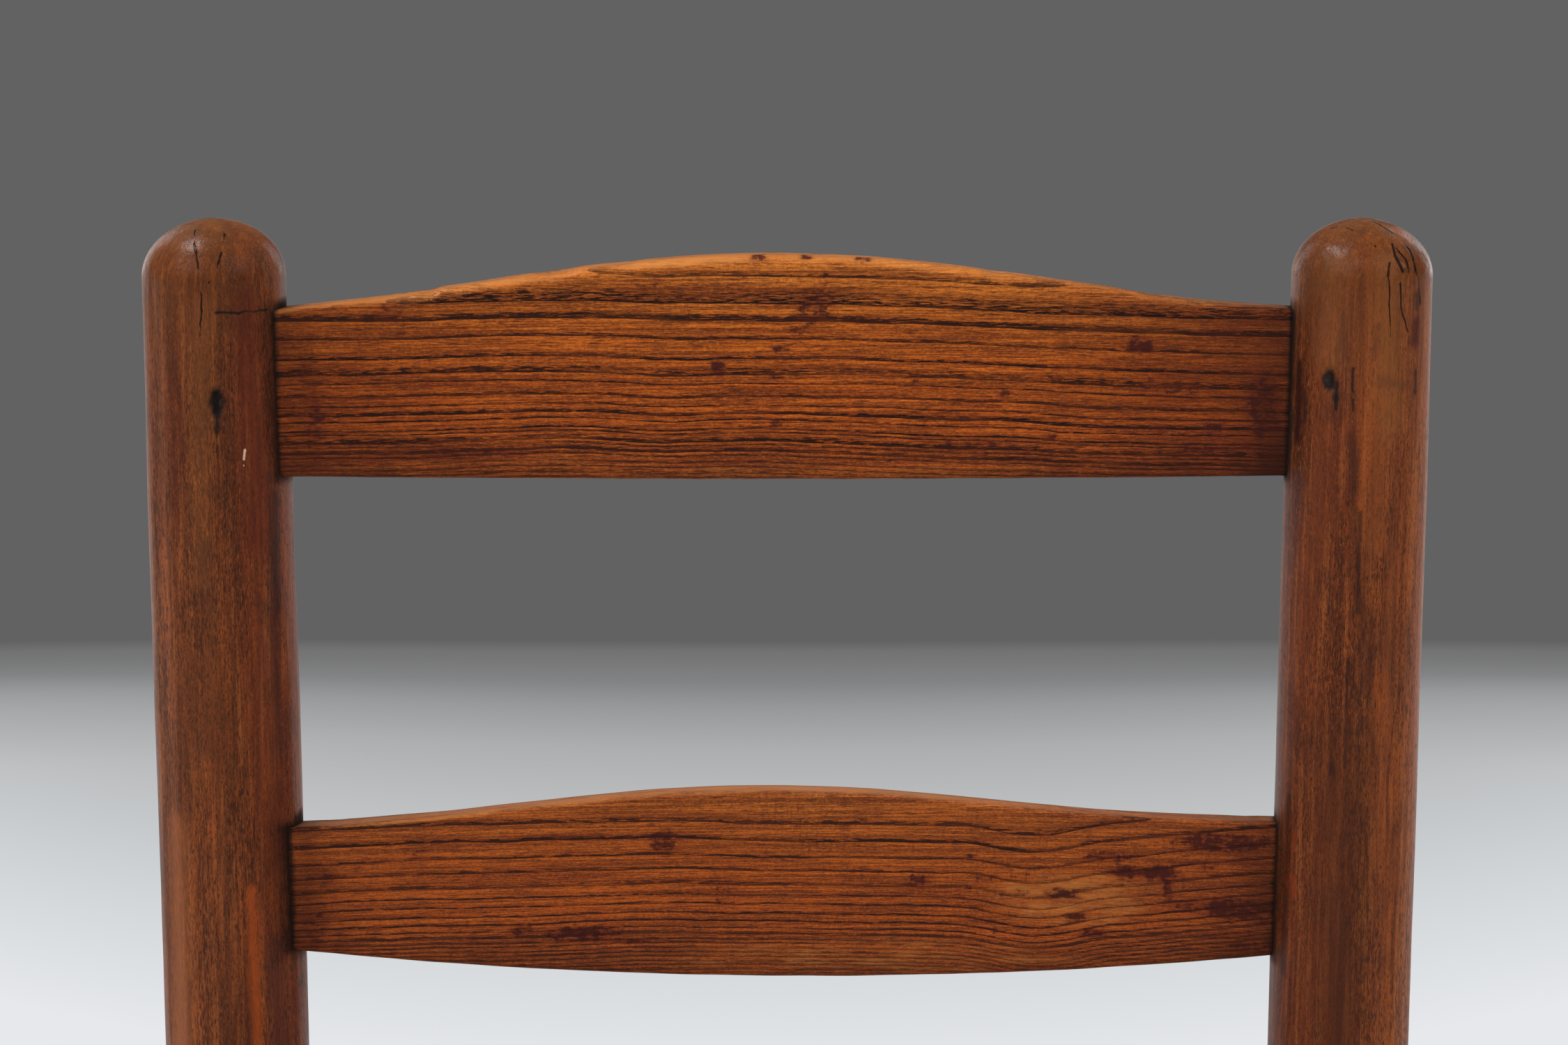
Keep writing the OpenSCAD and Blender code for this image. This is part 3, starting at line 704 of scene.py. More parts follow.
def make_slat(name, slat, stains, rubbed, chips, seed, drift, dip, rise, arris, bright, crest_wear_and_highlight):
    """A slat with chipped, worn edges, stains and paler places.
    arris is the radius of its upper front edge, and bright the share of wear and painted highlight on it.
    drift, dip, rise and crest_wear_and_highlight are as in ash."""
    stations = 420
    rings, grain, stain, wear, crest, shade, dirt = [], [], [], [], [], [], []
    for i in range(stations + 1):
        x = slat.half_l * (2 * i / stations - 1)
        ring = slat_ring(slat, x, seed, chips, arris)
        rings.append([back_point(x, n, s) for n, s, _, _ in ring])
        mid, low = slat.middle(x), slat.bottom(x)
        for n, s, near_edge, on_top in ring:
            grain.append((x, n - mid, s))
            stain.append(patch(x, s, stains) if n < mid else 0.4 * patch(-x, s, stains))
            # Along the upper front edge the wear value is partly wear and partly a painted highlight on the
            # arris.
            ups = 0.75 + 0.5 * wobble((x, 0, 7), 24, seed + 1)
            ups *= (1 - 0.5 * smooth(35 * MM, 100 * MM, x)) * bright
            edges = max(near_edge, 0.5 * fall(0, 3 * MM, s - low))
            wear.append(max(ups * edges, patch(x, s, rubbed) if n < mid else 0.0))
            # The upper face: partly wear and partly a painted highlight, weaker to the right.
            crest.append(on_top * (1 - 0.45 * smooth(35 * MM, 100 * MM, x)))
            outside = math.hypot(abs(x) - half_cc(s), n) - POST_R
            uneven = lumps((x, n, s), 60, seed + 3)
            ragged = lumps((x, n, s), 260, seed + 4)
            # The shade values are painted shade: darker close to the posts and along the lower edge.
            end = fall(0, (9 * MM + 14 * MM * uneven) * (1.7 if x > 0 else 1.0), outside)
            under = (0.2 + 0.6 * smooth(50 * MM, 120 * MM, abs(x))) * fall(1 * MM, 16 * MM, s - low)
            under *= 1.0 if slat is TOP_SLAT else 0.5
            shade.append(min(1.0, 0.8 * end * (0.4 + 0.6 * uneven) + under * uneven))
            # Darkest right at the post: dirt and painted shade in the joint's gap.
            dirt.append(fall(0.2 * MM, 0.8 * MM + 3.2 * MM * uneven * ragged, outside) * 0.92)
    return grid_mesh(name, rings, ash(name + "_wood", slat, drift, seed, dip, rise, crest_wear_and_highlight),
                     grain=grain, stain=stain, wear=wear, crest=crest, shade=shade, dirt=dirt)


# Posts, legs and stretchers
def rear_frame(side, along):
    """(centre, direction) of a rear post's axis at a length along it from the bend, negative downwards."""
    tangent = BEND_R * math.tan((LEAN + RAKE) / 2)
    lower = Vector((0, -math.sin(RAKE), math.cos(RAKE)))
    across = Vector((0, math.cos(RAKE), math.sin(RAKE)))
    upper = Vector((0, math.sin(LEAN), math.cos(LEAN)))
    if along <= -tangent:
        centre, direction = lower * along, lower
    elif along >= tangent:
        centre, direction = upper * along, upper
    else:
        turn = (LEAN + RAKE) * (along + tangent) / (2 * tangent)
        centre = lower * (BEND_R * math.sin(turn) - tangent) + across * (BEND_R * (1 - math.cos(turn)))
        direction = lower * math.cos(turn) + across * math.sin(turn)
    splay = Matrix.Rotation(side * SPLAY, 3, "Y")
    return Vector((side * REAR_HALF_CC, BEND_Y, BEND_Z)) + splay @ centre, splay @ direction


class Nail:
    """A nail in a hole on a post's round front, a little to one side, at a height up the back."""

    def __init__(self, off, down, hole):
        self.hole = hole
        self.s = UPPER_L - down * MM
        self.angle = math.atan2(-math.sqrt(POST_R ** 2 - (off * MM) ** 2), off * MM)


FACET_FADE = 25 * MM
LEFT_FACETS = [
    # degrees round the post from its right side, a depth as a share of its radius, and the lengths up
    # from the bend, in metres, between which a flat is shaved off
    (-42, 0.045, -0.35, 0.235), (-140, 0.02, 0.02, 0.34), (80, 0.02, -0.3, 0.3),
]
RIGHT_FACETS = [(-60, 0.018, 0.05, 0.30), (-130, 0.02, -0.3, 0.2), (100, 0.02, -0.3, 0.3)]
LEFT_NAIL = Nail(2.5, 56, 4.0)
RIGHT_NAIL = Nail(-11.7, 49.5, 3.0)


def square_to(axis, right):
    """Two directions square to an axis and to each other, the first of them near right."""
    right = (right - axis * right.dot(axis)).normalized()
    return right, axis.cross(right)


def turn_from(start, angle):
    """The turn from one angle to another, from minus half a turn to half a turn."""
    return (angle - start + math.pi) % math.tau - math.pi


def make_rear_post(name, side, nail, facets, radius_x, material, seed):
    """A rear post with drawknife facets, a nail's dimple and worn high places."""
    sides = 128
    angles = [math.tau * (j + 0.5) / sides for j in range(sides)]
    x_scale = radius_x / POST_R
    foot_l = -BEND_Z / (math.cos(RAKE) * math.cos(SPLAY))
    lengths = [foot_l, foot_l + FOOT_BEVEL]
    while lengths[-1] < POST_RISE:
        along = lengths[-1]
        fine = nail.s - 12 * MM < along < nail.s + 12 * MM
        step = 1.0 if fine else 2.4 if along > 90 * MM else 5
        lengths.append(min(POST_RISE, along + step * MM))
    rings, grain, wear, shade, dirt = [], [], [], [], []
    stops = [(along, 0.0) for along in lengths]
    stops += [(POST_RISE, math.radians(a)) for a in [*range(4, 90, 4), 89.3]]
    for along, rise in stops:
        centre, axis = rear_frame(side, along)
        right, back = square_to(axis, Vector((1, 0, 0)))
        base = leg_radius(centre.z)
        if along == foot_l:
            base -= FOOT_BEVEL
        up = along + DOME_H * math.sin(rise)
        swell = 0.55 * MM * smooth(-30 * MM, 20 * MM, along) * fall(270 * MM, 345 * MM, along)
        level = fall(2 * MM, 60 * MM, centre.z)
        ring = []
        for a in angles:
            r = base
            for middle, depth, start, end in facets:
                fade = smooth(start - FACET_FADE, start + FACET_FADE, up)
                fade *= fall(end - FACET_FADE, end + FACET_FADE, up)
                turn = abs(turn_from(math.radians(middle), a))
                if turn < 1.2:
                    r = min(r, base * (1 - depth * fade) / math.cos(turn))
            place = (math.cos(a) * POST_R, math.sin(a) * POST_R, up * 0.45)
            r += swell - 0.45 * MM * lumps(place, 42, seed) - 0.10 * MM * lumps(place, 170, seed + 4)
            off = turn_from(nail.angle, a) * POST_R
            away = math.hypot(off / (1.9 * MM), (up - nail.s) / (nail.hole * MM))
            away *= 1 + 0.3 * wobble((math.cos(a) * POST_R, 0, up), 420, seed)
            r -= 1.3 * MM * fall(0.6, 1.2, away)
            point = centre + right * (r * x_scale * math.cos(a) * math.cos(rise))
            point += back * (r * math.sin(a) * math.cos(rise))
            point += axis * (DOME_H * math.sin(rise))
            if rise > 0.1:
                point -= axis * (0.5 * MM * lumps(place, 60, seed + 8))
            if level > 0:
                point -= axis * (level * (point.z - centre.z) / axis.z)
            ring.append(point)
            out = (r - swell) * math.cos(rise)
            grain.append((up, out * math.cos(a), out * math.sin(a)))
            wear.append(0.55 * smooth(0.35, 1.3, rise) * lumps(place, 90, seed + 2))
            mark = 0.35 * fall(10 * MM, 90 * MM, centre.z) * lumps(place, 50, seed + 6)
            hole = fall(0.85, 1.25, away)
            shade.append(min(1.0, mark + 0.8 * hole))
            dirt.append(max(hole * 0.6, joint_dirt(point, side)))
        rings.append(ring)
    return grid_mesh(name, rings, material, grain=grain, wear=wear, shade=shade, dirt=dirt)


def joint_dirt(point, side):
    """Dirt and painted shade on a post close round the slats' ends, from 0 to 1."""
    y, z = point.y - BEND_Y, point.z - BEND_Z
    n = y * math.cos(LEAN) - z * math.sin(LEAN)
    s = y * math.sin(LEAN) + z * math.cos(LEAN)
    if s < 50 * MM or point.x * side > half_cc(s):
        return 0.0
    value = 0.0
    for slat in (TOP_SLAT, LOWER_SLAT):
        x = side * SLAT_STRAIGHT
        out_n = abs(n - slat.middle(x)) - SLAT_T / 2
        out_s = max(slat.bottom(x) - s, s - slat.top(x))
        reach = (5.6 + 3.2 * wobble(point, 110, 5) + 2.4 * wobble(point, 400, 7)) * MM
        outside = max(out_n, 2.4 * out_s)
        wide = 0.62 * fall(0, (8.0 + 3.5 * wobble(point, 90, 8)) * MM, outside)
        value = max(value, wide, fall(-0.2 * MM, max(0.9 * MM, reach), outside))
        if s > slat.base:
            tall = (1.8 if slat is TOP_SLAT else 3.0) * MM
            corner = math.hypot((n - slat.middle(x)) / (7 * MM), (s - slat.top(x)) / tall)
            value = max(value, fall(0.6, 1.3, corner * (1 + 0.4 * wobble(point, 500, 3))))
    return 0.92 * value


def make_member(name, start, end, radius_at, material, seed, sides, domed=0.0, bevel=0.0):
    """A round leg or stretcher from start to end, whose radius comes from the share of its length."""
    axis = (end - start).normalized()
    length = (end - start).length
    right, back = square_to(axis, Vector((1, 0, 0)) if abs(axis.x) < 0.7 else Vector((0, 1, 0)))
    angles = [math.tau * j / sides for j in range(sides)]
    count = max(2, round((length - domed - bevel) / (5 * MM)))
    stops = [(0.0, -bevel, 0.0)] if bevel else []
    stops += [(bevel + (length - domed - bevel) * i / count, 0.0, 0.0) for i in range(count + 1)]
    if domed:
        stops += [(length - domed, 0.0, math.radians(a)) for a in [*range(8, 88, 8), 89]]
    rings, grain, wear, shade, dirt = [], [], [], [], []
    for along, less, rise in stops:
        base = radius_at(along / length) + less
        up = along + domed * math.sin(rise)
        ring = []
        for a in angles:
            place = (math.cos(a) * base, math.sin(a) * base, up * 0.5)
            r = base - 0.45 * MM * lumps(place, 45, seed) - 0.1 * MM * lumps(place, 190, seed + 4)
            point = start + axis * up + (right * math.cos(a) + back * math.sin(a)) * (r * math.cos(rise))
            ring.append(point)
            grain.append((up, r * math.cos(a), r * math.sin(a)))
            wear.append(0.5 * smooth(0.3, 1.2, rise) + 0.25 * smooth(0.1, 0.7, wobble(place, 28, seed + 2)))
            near_floor = fall(5 * MM, 80 * MM, point.z)
            shade.append(0.4 * near_floor * lumps(place, 50, seed + 6))
            dirt.append(0.0)
        rings.append(ring)
    return grid_mesh(name, rings, material, grain=grain, wear=wear, shade=shade, dirt=dirt)


def make_stretcher(name, a, b, material, seed):
    """A shaved stick that swells from its tenons to its middle."""
    line = (b - a).normalized()
    inset = leg_radius(a.z) - 2 * MM
    start, end = a + line * inset, b - line * inset

    def radius_at(share):
        return TENON_R + (STRETCHER_R - TENON_R) * math.sin(math.pi * min(1, max(0, share))) ** 0.6

    return make_member(name, start, end, radius_at, material, seed, sides=40)


# Rush seat
RUSH_R = RAIL_H / 2 + CORD_D
RUSH_FLAT = (RAIL_W - RAIL_H) / 2
CORD_STEP = 7 * MM
SIDE_RAIL_Z = RAIL_Z + RAIL_STEP


def seat_corners():
    """Where the seat's corners meet the posts and legs, at floor level."""
    reach = POST_R + RUSH_GAP
    z = SIDE_RAIL_Z + RUSH_R
    places = [
        (front_axis(LEFT, z), 1, 1), (front_axis(RIGHT, z), -1, 1),
        (rear_axis(RIGHT, z), -1, -1), (rear_axis(LEFT, z), 1, -1),
    ]
    return [Vector((p.x + sx * reach, p.y + sy * reach, 0)) for p, sx, sy in places]


CORNERS = seat_corners()
CENTRE = Vector((0, (CORNERS[0].y + CORNERS[2].y) / 2, 0))
RAILS = [
    (front_axis(LEFT, RAIL_Z), front_axis(RIGHT, RAIL_Z)),
    (front_axis(RIGHT, SIDE_RAIL_Z), rear_axis(RIGHT, SIDE_RAIL_Z)),
    (rear_axis(RIGHT, RAIL_Z), rear_axis(LEFT, RAIL_Z)),
    (rear_axis(LEFT, SIDE_RAIL_Z), front_axis(LEFT, SIDE_RAIL_Z)),
]
OUTWARD = [Vector(v) for v in ((0, -1, 0), (1, 0, 0), (0, 1, 0), (-1, 0, 0))]


def cord_route(side, t, half_h):
    """The centre line of one cord, from its mitre on top, round its rail, to its mitre underneath, and the
    direction along its rail."""
    share_in = 1 - abs(2 * t - 1)
    corner = CORNERS[side if t < 0.5 else (side + 1) % 4]
    mitre = corner + (CENTRE - corner) * share_in
    a, b = RAILS[side]
    # The coordinate along the rail is x for the front and rear rails, and y for the side rails.
    run = side % 2
    rail = a.lerp(b, (mitre[run] - a[run]) / (b[run] - a[run]))
    out = OUTWARD[side]
    r = RUSH_R - half_h
    inner = Vector((rail.x, rail.y, 0))
    inner[run] = mitre[run]
    inner -= out * RUSH_FLAT
    top_z = RAIL_Z + RUSH_R + RAIL_STEP / 2 * (1 - share_in) - 2 * MM * share_in - half_h
    low_z = RAIL_Z - RUSH_R + RAIL_STEP / 2 * (1 - share_in) + 5 * MM * share_in + half_h
    route = []
    reach = (inner - mitre).length
    steps = max(1, round(reach / CORD_STEP))
    for i in range(steps):
        f = i / steps
        dive = 4.5 * MM * fall(0, 6 * MM, f * reach)
        flat = mitre.lerp(inner, f)
        route.append(Vector((flat.x, flat.y, top_z + (rail.z + r - top_z) * f - dive)))
    route.append(Vector((inner.x, inner.y, rail.z + r)))
    for i in range(13):
        angle = math.radians(90 - 15 * i)
        flat = inner + out * (2 * RUSH_FLAT + r * math.cos(angle))
        route.append(Vector((flat.x, flat.y, rail.z + r * math.sin(angle))))
    route.append(Vector((inner.x, inner.y, rail.z - r)))
    for i in range(1, steps + 1):
        f = i / steps
        rise = 4 * MM * smooth(1 - 6 * MM / max(reach, CORD_STEP), 1, f)
        flat = inner.lerp(mitre, f)
        route.append(Vector((flat.x, flat.y, rail.z - r + (low_z - rail.z + r) * f + rise)))
    return route, Vector((1 - run, run, 0))


def make_rush():
    """All the seat's cords as one mesh: each winds over its rail and dives at the mitres."""
    sides = 10
    points, faces, twist, shade = [], [], [], []
    half_h = CORD_D / 2
    for side in range(4):
        first, last = CORNERS[side], CORNERS[(side + 1) % 4]
        pitch = (last - first).length / CORDS_PER_SIDE
        for j in range(CORDS_PER_SIDE):
            route, side_ways = cord_route(side, (j + 0.5) / CORDS_PER_SIDE, half_h)
            which = side * CORDS_PER_SIDE + j
            half_w = pitch * 0.53 * (1 + 0.05 * wobble((which, 0, 0), 0.9, 3))
            run = 0.0
            base = len(points)
            for k, centre in enumerate(route):
                ahead = route[min(k + 1, len(route) - 1)] - route[max(k - 1, 0)]
                ahead.normalize()
                outward = side_ways.cross(ahead)
                outward.normalize()
                if k:
                    run += (centre - route[k - 1]).length
                sway = side_ways * (0.35 * MM * wobble((which * 0.37, run * 30, 0), 1, 6))
                lift = outward * (0.25 * MM * wobble((which * 0.53, run * 22, 4), 1, 2))
                swell = 1 + 0.05 * wobble((which * 0.71, run * 45, 0), 1, 9)
                for i in range(sides):
                    a = math.tau * i / sides
                    ring = side_ways * (half_w * math.cos(a)) + outward * (half_h * 0.97 * math.sin(a))
                    points.append(centre + sway + lift + ring * swell)
                    twist.append((run, i / sides, which))
                    from_end = min(k, len(route) - 1 - k) * CORD_STEP
                    shade.append(0.75 * fall(0, 9 * MM, from_end))
            for k in range(len(route) - 1):
                for i in range(sides):
                    m = (i + 1) % sides
                    row, above = base + k * sides, base + (k + 1) * sides
                    faces.append((row + i, above + i, above + m, row + m))
            faces.append(tuple(base + i for i in range(sides)))
            faces.append(tuple(base + (len(route) - 1) * sides + i for i in reversed(range(sides))))
    return mesh_piece("rush_cords", points, faces, rush(), {"twist": twist, "shade": shade})


def make_stuffing():
    """A crumpled slab of straw between the two layers of rush."""
    low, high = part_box("seat_stuffing")
    steps = 36
    middle = (low + high) / 2
    rings = []
    for j in range(steps // 2 + 1):
        f = j / (steps // 2)
        height = math.cos(math.pi * f)
        spread = math.sin(math.pi * max(0.02, min(0.98, f))) ** 0.25
        ring = []
        for i in range(4 * steps):
            corner, along = divmod(i, steps)
            a, b = CORNERS[corner], CORNERS[(corner + 1) % 4]
            edge = CENTRE + (a.lerp(b, along / steps) - CENTRE) * 0.83
            flat = CENTRE + (edge - CENTRE) * spread
            bump = 0.8 * MM * wobble((flat.x, flat.y, f), 70, 2)
            z = middle.z + height * ((high.z - low.z) / 2 - 1 * MM) + bump
            ring.append(Vector((flat.x, flat.y, z)))
        rings.append(ring)
    straw = two_tone("straw_stuffing", (300, 60, 300), (0.35, 0.65), (78, 58, 30), (160, 130, 76), 0.8,
                     1.5 * MM, distortion=1.5)
    return grid_mesh("straw_stuffing", rings, straw)


# The chair
DARK = (24, 18, 16)
PALE = (214, 178, 150)

LEFT_MARKS = [
    # two places on the post, each across, back and up from the bend, and a width, all in mm, then
    # a colour and its strength: a smear lies along the line between them
    ((-16, -15, 50), (-15, -16, 170), 9, (156, 88, 46), 0.48),
    ((-4, -22, 250), (-2, -22.4, 338), 5.5, (130, 76, 36), 0.30),
    ((13, -18, 262), (12, -19, 338), 8.5, (84, 30, 16), 0.55),
    ((18, -13, 240), (18, -13, 276), 4.5, (48, 24, 18), 0.7),
    ((2.2, -21, 304), (2.2, -21, 311), 2.6, DARK, 0.95),
    ((2.3, -22, 298), (2.2, -22, 305), 1.5, DARK, 0.9),
    ((10.2, -19.8, 291.4), (9.8, -20, 288.8), 0.55, PALE, 0.95),
    ((9.6, -20.1, 286.7), (9.6, -20.1, 286.9), 0.35, PALE, 0.9),
    ((3.3, -21.9, 335.6), (10, -20, 335.2), 0.7, DARK, 0.92),
    ((10, -20, 335.2), (17.6, -13.4, 335.6), 0.6, DARK, 0.85),
    ((-4, -22, 195), (-1, -22, 262), 4.5, (71, 38, 22), 0.45),
    ((16, -15, 150), (17, -14, 236), 4, (63, 26, 17), 0.4),
    ((9, -20, 60), (8, -20.5, 150), 2.8, (164, 74, 24), 0.6),
    ((15.5, -15, 50), (14.5, -16, 130), 5.5, (65, 24, 17), 0.6),
]
LEFT_CRACKS = [
    # places along a crack, in mm, and the width of each stretch between them
    ([(-4, -11, 360.6), (-3.1, -18.4, 355), (-2, -21, 350.6), (-1.2, -22.1, 340), (-2.1, -22, 328)],
     [0.45, 0.34, 0.3, 0.3]),
    ([(5.3, -12.6, 359.4), (4.9, -19.2, 353.3), (4.2, -20.6, 351), (1.2, -22, 345)],
     [0.6, 0.45, 0.28]),
]
RIGHT_MARKS = [
    ((4, -22, 262), (5, -21.6, 340), 6, (138, 72, 33), 0.40),
    ((-14, -17, 255), (-13, -18, 335), 7, (100, 46, 22), 0.40),
    ((-19.6, -10, 294), (-19.8, -9.6, 318), 3.2, (39, 16, 13), 0.92),
    ((-18.2, -13, 300), (-18.6, -12.4, 309), 1.8, (39, 16, 13), 0.7),
    ((-13, -15, 350), (-15, -14, 343), 7, (84, 52, 27), 0.45),
    ((15.5, -16, 337), (15.6, -16, 341), 2.4, (50, 26, 18), 0.7),
    ((-10, -19, 302), (-9, -19.6, 308), 4, (58, 28, 18), 0.5),
    ((-7, -21.4, 322), (-8, -21, 334), 3, (62, 32, 19), 0.45),
    ((2, -22.4, 322), (3, -22.3, 331), 2.4, (62, 32, 19), 0.4),
    ((-16, -15, 322), (-15, -16, 336), 5, (74, 40, 22), 0.4),
    ((-3, -22, 280), (-4, -22, 296), 2.6, (58, 28, 18), 0.5),
    ((9.6, -18.6, 352), (10.8, -18.4, 349.6), 2.0, (52, 27, 17), 0.55),
    ((10.2, -18.6, 351.4), (10.8, -18.5, 350.2), 0.8, (150, 92, 56), 0.6),
    ((-11.2, -18, 312.2), (-11.2, -18.4, 317), 2.6, DARK, 0.95),
    ((-9.6, -19.9, 308), (-9.4, -20, 313), 1.7, DARK, 0.9),
    ((-9.2, -20.2, 304.5), (-9.4, -20, 309), 0.8, DARK, 0.85),
    ((15.2, -16.3, 326), (15.4, -16, 332), 3.8, (63, 16, 15), 0.8),
    ((5, -21.5, 313.6), (11, -19, 312.5), 4, (65, 32, 22), 0.5),
    ((15.7, -15.7, 309.5), (15.6, -15.8, 316.5), 0.9, (37, 20, 17), 0.75),
    ((-4.4, -21.7, 310.6), (-4.5, -21.7, 318), 0.7, DARK, 0.8),
    ((-4.3, -21.7, 304.6), (-4.3, -21.7, 308), 0.6, DARK, 0.7),
    ((-7.2, -21.1, 188), (-7.2, -21.1, 190.6), 2.0, DARK, 0.8),
    ((-1, -22.2, 240), (-1, -22.2, 272), 1.4, (43, 22, 17), 0.7),
    ((-3.4, -22, 190), (-3.2, -22, 225), 0.8, (43, 22, 17), 0.55),
    ((1.5, -22, 215), (2.5, -22, 240), 4.5, (63, 30, 18), 0.5),
    ((9, -20, 195), (10, -20, 262), 3.6, (140, 72, 31), 0.25),
    ((-17, -14, 146), (-17.4, -13.5, 152), 2.0, (150, 54, 20), 0.35),
    ((-17.4, -13.5, 161), (-17, -14, 166), 1.6, (146, 52, 20), 0.3),
    ((-19, -11, 120), (-19, -11, 178), 2.8, (37, 16, 13), 0.6),
    ((0, -22, 60), (-6, -21, 150), 6, (63, 30, 20), 0.45),
    ((-4, -22, 60), (-4, -22, 200), 17, (66, 32, 17), 0.5),
    ((8, -20, 300), (6, -21, 350), 9, (138, 84, 38), 0.35),
    ((-12, -18, 320), (-10, -19, 350), 8, (132, 78, 38), 0.35),
]
RIGHT_CRACKS = [
    ([(2.4, -5.1, 362.8), (6.6, -9.9, 360.4), (12.8, -14, 354.6), (14.6, -16, 349), (16.7, -14.8, 338)],
     [0.55, 0.8, 0.75, 0.5]),
    ([(-10.9, -5.1, 360.4), (-7.9, -6.5, 361.2), (-4.9, -10.3, 360.6), (1.5, -17.6, 356)],
     [0.3, 0.32, 0.34]),
    ([(7.3, -15.7, 356.5), (7.9, -18.4, 353), (10.2, -19.2, 348.5)],
     [0.6, 0.75]),
    ([(6.1, -20, 351), (5.5, -21.4, 347), (6.4, -21.4, 336), (6.7, -21.3, 328)],
     [0.65, 0.34, 0.26]),
    ([(8.6, -16.6, 355.4), (11.6, -17.2, 351.6), (12, -17.9, 348.2)],
     [0.5, 0.6]),
    ([(9.4, -20.2, 344.5), (10.4, -19.8, 335), (12.6, -18.4, 329)],
     [0.3, 0.3]),
]
LEFT_ZONES = [
    # x across the post, in mm, and the colour there
    (-22, (126, 68, 31)), (-13, (100, 51, 23)), (-3, (108, 56, 24)), (4, (93, 45, 19)), (9, (114, 51, 20)),
    (22, (116, 50, 20)),
]
# The right post's right side is paler: partly the wood's own colour and partly painted light from the lamp on
# the right.
RIGHT_ZONES = [
    (-22, (86, 40, 18)), (-14, (101, 46, 17)), (-5, (97, 43, 16)), (4, (116, 58, 22)), (12, (136, 67, 26)),
    (22, (176, 98, 44)),
]
PLAIN_ZONES = [(-22, (98, 48, 22)), (-8, (114, 60, 26)), (8, (104, 51, 23)), (22, (112, 57, 26))]

made = {}
made["top_slat"] = make_slat(
    "ash_top_slat", TOP_SLAT, TOP_STAINS, TOP_RUBBED, TOP_CHIPS, seed=3.0, drift=5 * MM,
    dip=(-40 * MM, 0.8 * MM), rise=0.0, arris=3.2 * MM, bright=1.0, crest_wear_and_highlight=(170, 105, 49))
made["lower_slat"] = make_slat(
    "ash_lower_slat", LOWER_SLAT, LOWER_STAINS, LOWER_RUBBED, LOWER_CHIPS, seed=11.0, drift=1.5 * MM,
    dip=(80 * MM, 3.0 * MM), rise=8 * MM, arris=1.3 * MM, bright=0.7, crest_wear_and_highlight=(180, 115, 66))
made["rear_post_left"] = make_rear_post(
    "beech_rear_post_left", LEFT, LEFT_NAIL, LEFT_FACETS, radius_x=22.9 * MM, seed=2.0,
    material=beech("left_post_wood", 2.0, LEFT_ZONES, LEFT_CRACKS, LEFT_MARKS, polished=UPPER_L))
made["rear_post_right"] = make_rear_post(
    "beech_rear_post_right", RIGHT, RIGHT_NAIL, RIGHT_FACETS, radius_x=POST_R, seed=8.0,
    material=beech("right_post_wood", 14.0, RIGHT_ZONES, RIGHT_CRACKS, RIGHT_MARKS, polished=UPPER_L))

leg_wood = beech("leg_wood", 31.0, PLAIN_ZONES)
for side, word in ((LEFT, "left"), (RIGHT, "right")):
    made["front_leg_" + word] = make_member(
        "beech_front_leg_" + word, front_axis(side, 0), front_axis(side, FRONT_LEG_H),
        lambda share: leg_radius(share * FRONT_LEG_H), leg_wood, seed=20.0 + side, sides=96,
        domed=FRONT_DOME_H, bevel=FOOT_BEVEL)

stick_wood = beech("stick_wood", 47.0, PLAIN_ZONES)
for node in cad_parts:
    if "stretcher" not in node:
        continue
    low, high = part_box(node)
    z = (low.z + high.z) / 2
    if node.startswith("front"):
        a, b = front_axis(LEFT, z), front_axis(RIGHT, z)
    elif node.startswith("rear"):
        a, b = rear_axis(LEFT, z), rear_axis(RIGHT, z)
    else:
        side = LEFT if node.startswith("left") else RIGHT
        a, b = front_axis(side, z), rear_axis(side, z)
    made[node] = make_stretcher("beech_" + node, a, b, stick_wood, 60 * z)

made["rush_seat"] = make_rush()
made["seat_stuffing"] = make_stuffing()

for node, piece in made.items():
    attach(piece, "root")
    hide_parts(node)

# The rush covers the rails' bare wood. The nails are old forged iron, nearly black with rust.
rail_material = two_tone("raw_rail_wood", (90, 90, 700), (0.35, 0.7), (128, 88, 54), (166, 122, 80), 0.7,
                         0.2 * MM)
nail_material = two_tone("old_iron", (900, 900, 900), (0.45, 0.7), (46, 42, 42), (86, 54, 40), (0.42, 0.7),
                         0.35 * MM, Metallic=0.7)
for node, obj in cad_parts.items():
    if node in made:
        continue
    material = nail_material if node == "slat_nails" else rail_material
    obj.data.materials.clear()
    obj.data.materials.append(material)

# Stage, lights and camera
BACKDROP_GREY = srgb(98, 98, 98)
FLOOR_PALE = srgb(230, 232, 235)

# The floor's pale colour holds to FADE_START from the chair's middle and has gone grey at FADE_END.
FADE_START, FADE_END = 1.40, 2.26
# Behind the chair the fade's lines run level, and its paler ones bend forward at the sides.
FADE_LEVEL, FADE_CURVE, FADE_CORNER = 0.63, 0.47, 7.0
FADE = [
    # distance from the chair's middle and the floor's brightness there
    (1.60, 216), (1.75, 202), (1.91, 185), (2.00, 174), (2.09, 153), (2.152, 131), (2.20, 120),
    (2.225, 115), (2.252, 98),
]


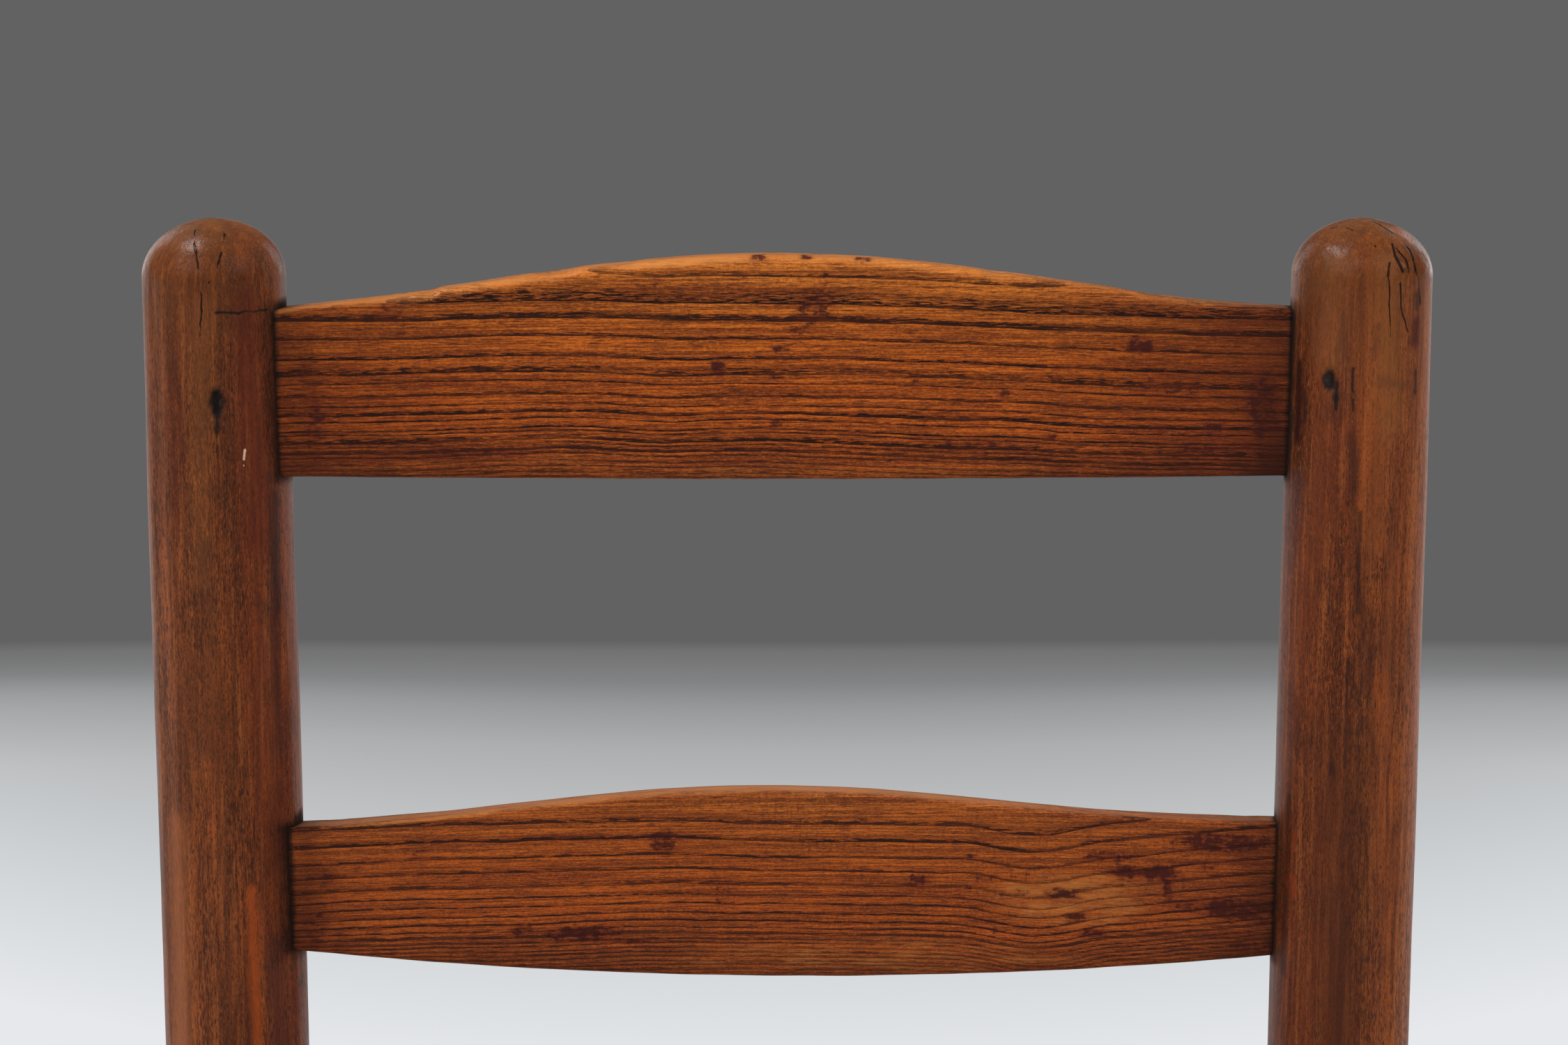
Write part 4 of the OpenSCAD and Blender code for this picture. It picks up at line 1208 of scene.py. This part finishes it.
def make_floor():
    half_side = 30.0
    mesh = bpy.data.meshes.new("floor")
    corners = [(x * half_side, y * half_side, 0) for x, y in ((-1, -1), (1, -1), (1, 1), (-1, 1))]
    mesh.from_pydata(corners, [], [(0, 1, 2, 3)])
    floor = bpy.data.objects.new("floor", mesh)
    bpy.context.scene.collection.objects.link(floor)
    sh = Shader("studio_floor")
    x, y, _ = sh.split(sh.node("TexCoord").outputs["Object"])
    square = sh.math("MULTIPLY_ADD", y, y, sh.math("MULTIPLY", x, x))
    reach = sh.math("SQRT", square)
    aside = sh.math("DIVIDE", sh.math("MULTIPLY", x, x), sh.math("MAXIMUM", square, 1e-6))
    sides = sh.product(reach, aside, sh.math("POWER", sh.math("SUBTRACT", 1.0, aside), 3.0))
    level_line = sh.math("SUBTRACT", reach, sh.product(sides, FADE_LEVEL))
    paler = sh.product(sh.step(level_line, 1.95, 2.07, FADE_CORNER, 0.0), aside)
    paler = sh.total(paler, sh.step(level_line, 2.09, 2.22, FADE_CURVE, 0.0))
    away = sh.math("SUBTRACT", level_line, sh.product(sides, paler))
    span = FADE_END - FADE_START
    share = sh.math("MULTIPLY_ADD", away, 1 / span, -FADE_START / span)
    stops = [(0.0, FLOOR_PALE)]
    for distance, level in FADE:
        blue = 6 if level > 200 else 3 if level > 130 else 0
        tone = srgb(level - blue // 2, level, level + blue // 2)
        stops.append(((distance - FADE_START) / span, tone))
    stops.append((1.0, BACKDROP_GREY))
    sh.set(Base_Color=srgb(222, 223, 225), Roughness=0.9, Specular_IOR_Level=0.2)
    glow = sh.node("Emission", sh.ramp(share, stops))
    seen = sh.math("MULTIPLY", sh.step(away, 1.0, 1.4), sh.node("LightPath").outputs["Is Camera Ray"])
    mixer = sh.node("MixShader", seen, sh.surface.outputs[0], glow.outputs[0])
    sh.feed(sh.output.inputs[0], mixer.outputs[0])
    mesh.materials.append(sh.material)


make_floor()


def make_world():
    """Even white light on the chair, and the grey backdrop for the camera and for reflections."""
    world = bpy.data.worlds.new("studio")
    bpy.context.scene.world = world
    world.use_nodes = True
    tree = Tree(world.node_tree)
    ray = tree.node("LightPath").outputs
    light = tree.node("Background", (1.0, 1.0, 1.0, 1.0), 0.72)
    backdrop = tree.node("Background", BACKDROP_GREY, 1.0)
    seen = tree.math("MAXIMUM", ray["Is Camera Ray"], ray["Is Glossy Ray"])
    mixer = tree.node("MixShader", seen, light.outputs[0], backdrop.outputs[0])
    tree.node("OutputWorld", mixer.outputs[0])


make_world()


back_middle = back_point(0, 0, 0.26)


def softbox(name, place, size, power):
    """A soft rectangular lamp, aimed at the middle of the back."""
    lamp = bpy.data.lights.new(name, "AREA")
    lamp.shape = "RECTANGLE"
    lamp.size, lamp.size_y = size
    lamp.energy = power
    box = bpy.data.objects.new(name, lamp)
    box.location = place
    box.rotation_euler = (back_middle - Vector(place)).to_track_quat("-Z", "Y").to_euler()
    bpy.context.scene.collection.objects.link(box)


softbox("key_left_front", (-1.9, -1.5, 2.9), (3.0, 2.4), 32)
softbox("fill_right_front", (2.0, -1.2, 2.8), (2.6, 2.4), 16)
softbox("side_left", (-1.6, 2.5, 1.1), (0.9, 1.8), 9)
softbox("side_right", (1.6, 2.5, 1.1), (0.9, 1.8), 8)
softbox("top_left", back_middle + Vector((-0.45, 0.06, 0.89)) * 1.9, (0.7, 0.5), 20)

# The camera stands where the photographer's did: so far from the back and so far above level.
CAMERA_LENS = 104.0
CAMERA_ABOVE = math.radians(17.517)
CAMERA_AWAY = 1.45
AIM_X = -1.24 * MM
AIM_UP = 265.3 * MM
camera_data = bpy.data.cameras.new("camera")
camera_data.lens = CAMERA_LENS
camera_data.sensor_width = 36.0
camera = bpy.data.objects.new("camera", camera_data)
aim = back_point(AIM_X, 0, AIM_UP)
camera.location = aim + Vector((0, -math.cos(CAMERA_ABOVE), math.sin(CAMERA_ABOVE))) * CAMERA_AWAY
camera.rotation_euler = (math.pi / 2 - CAMERA_ABOVE, 0, 0)
bpy.context.scene.collection.objects.link(camera)
bpy.context.scene.camera = camera
bpy.context.scene.view_settings.view_transform = "Standard"
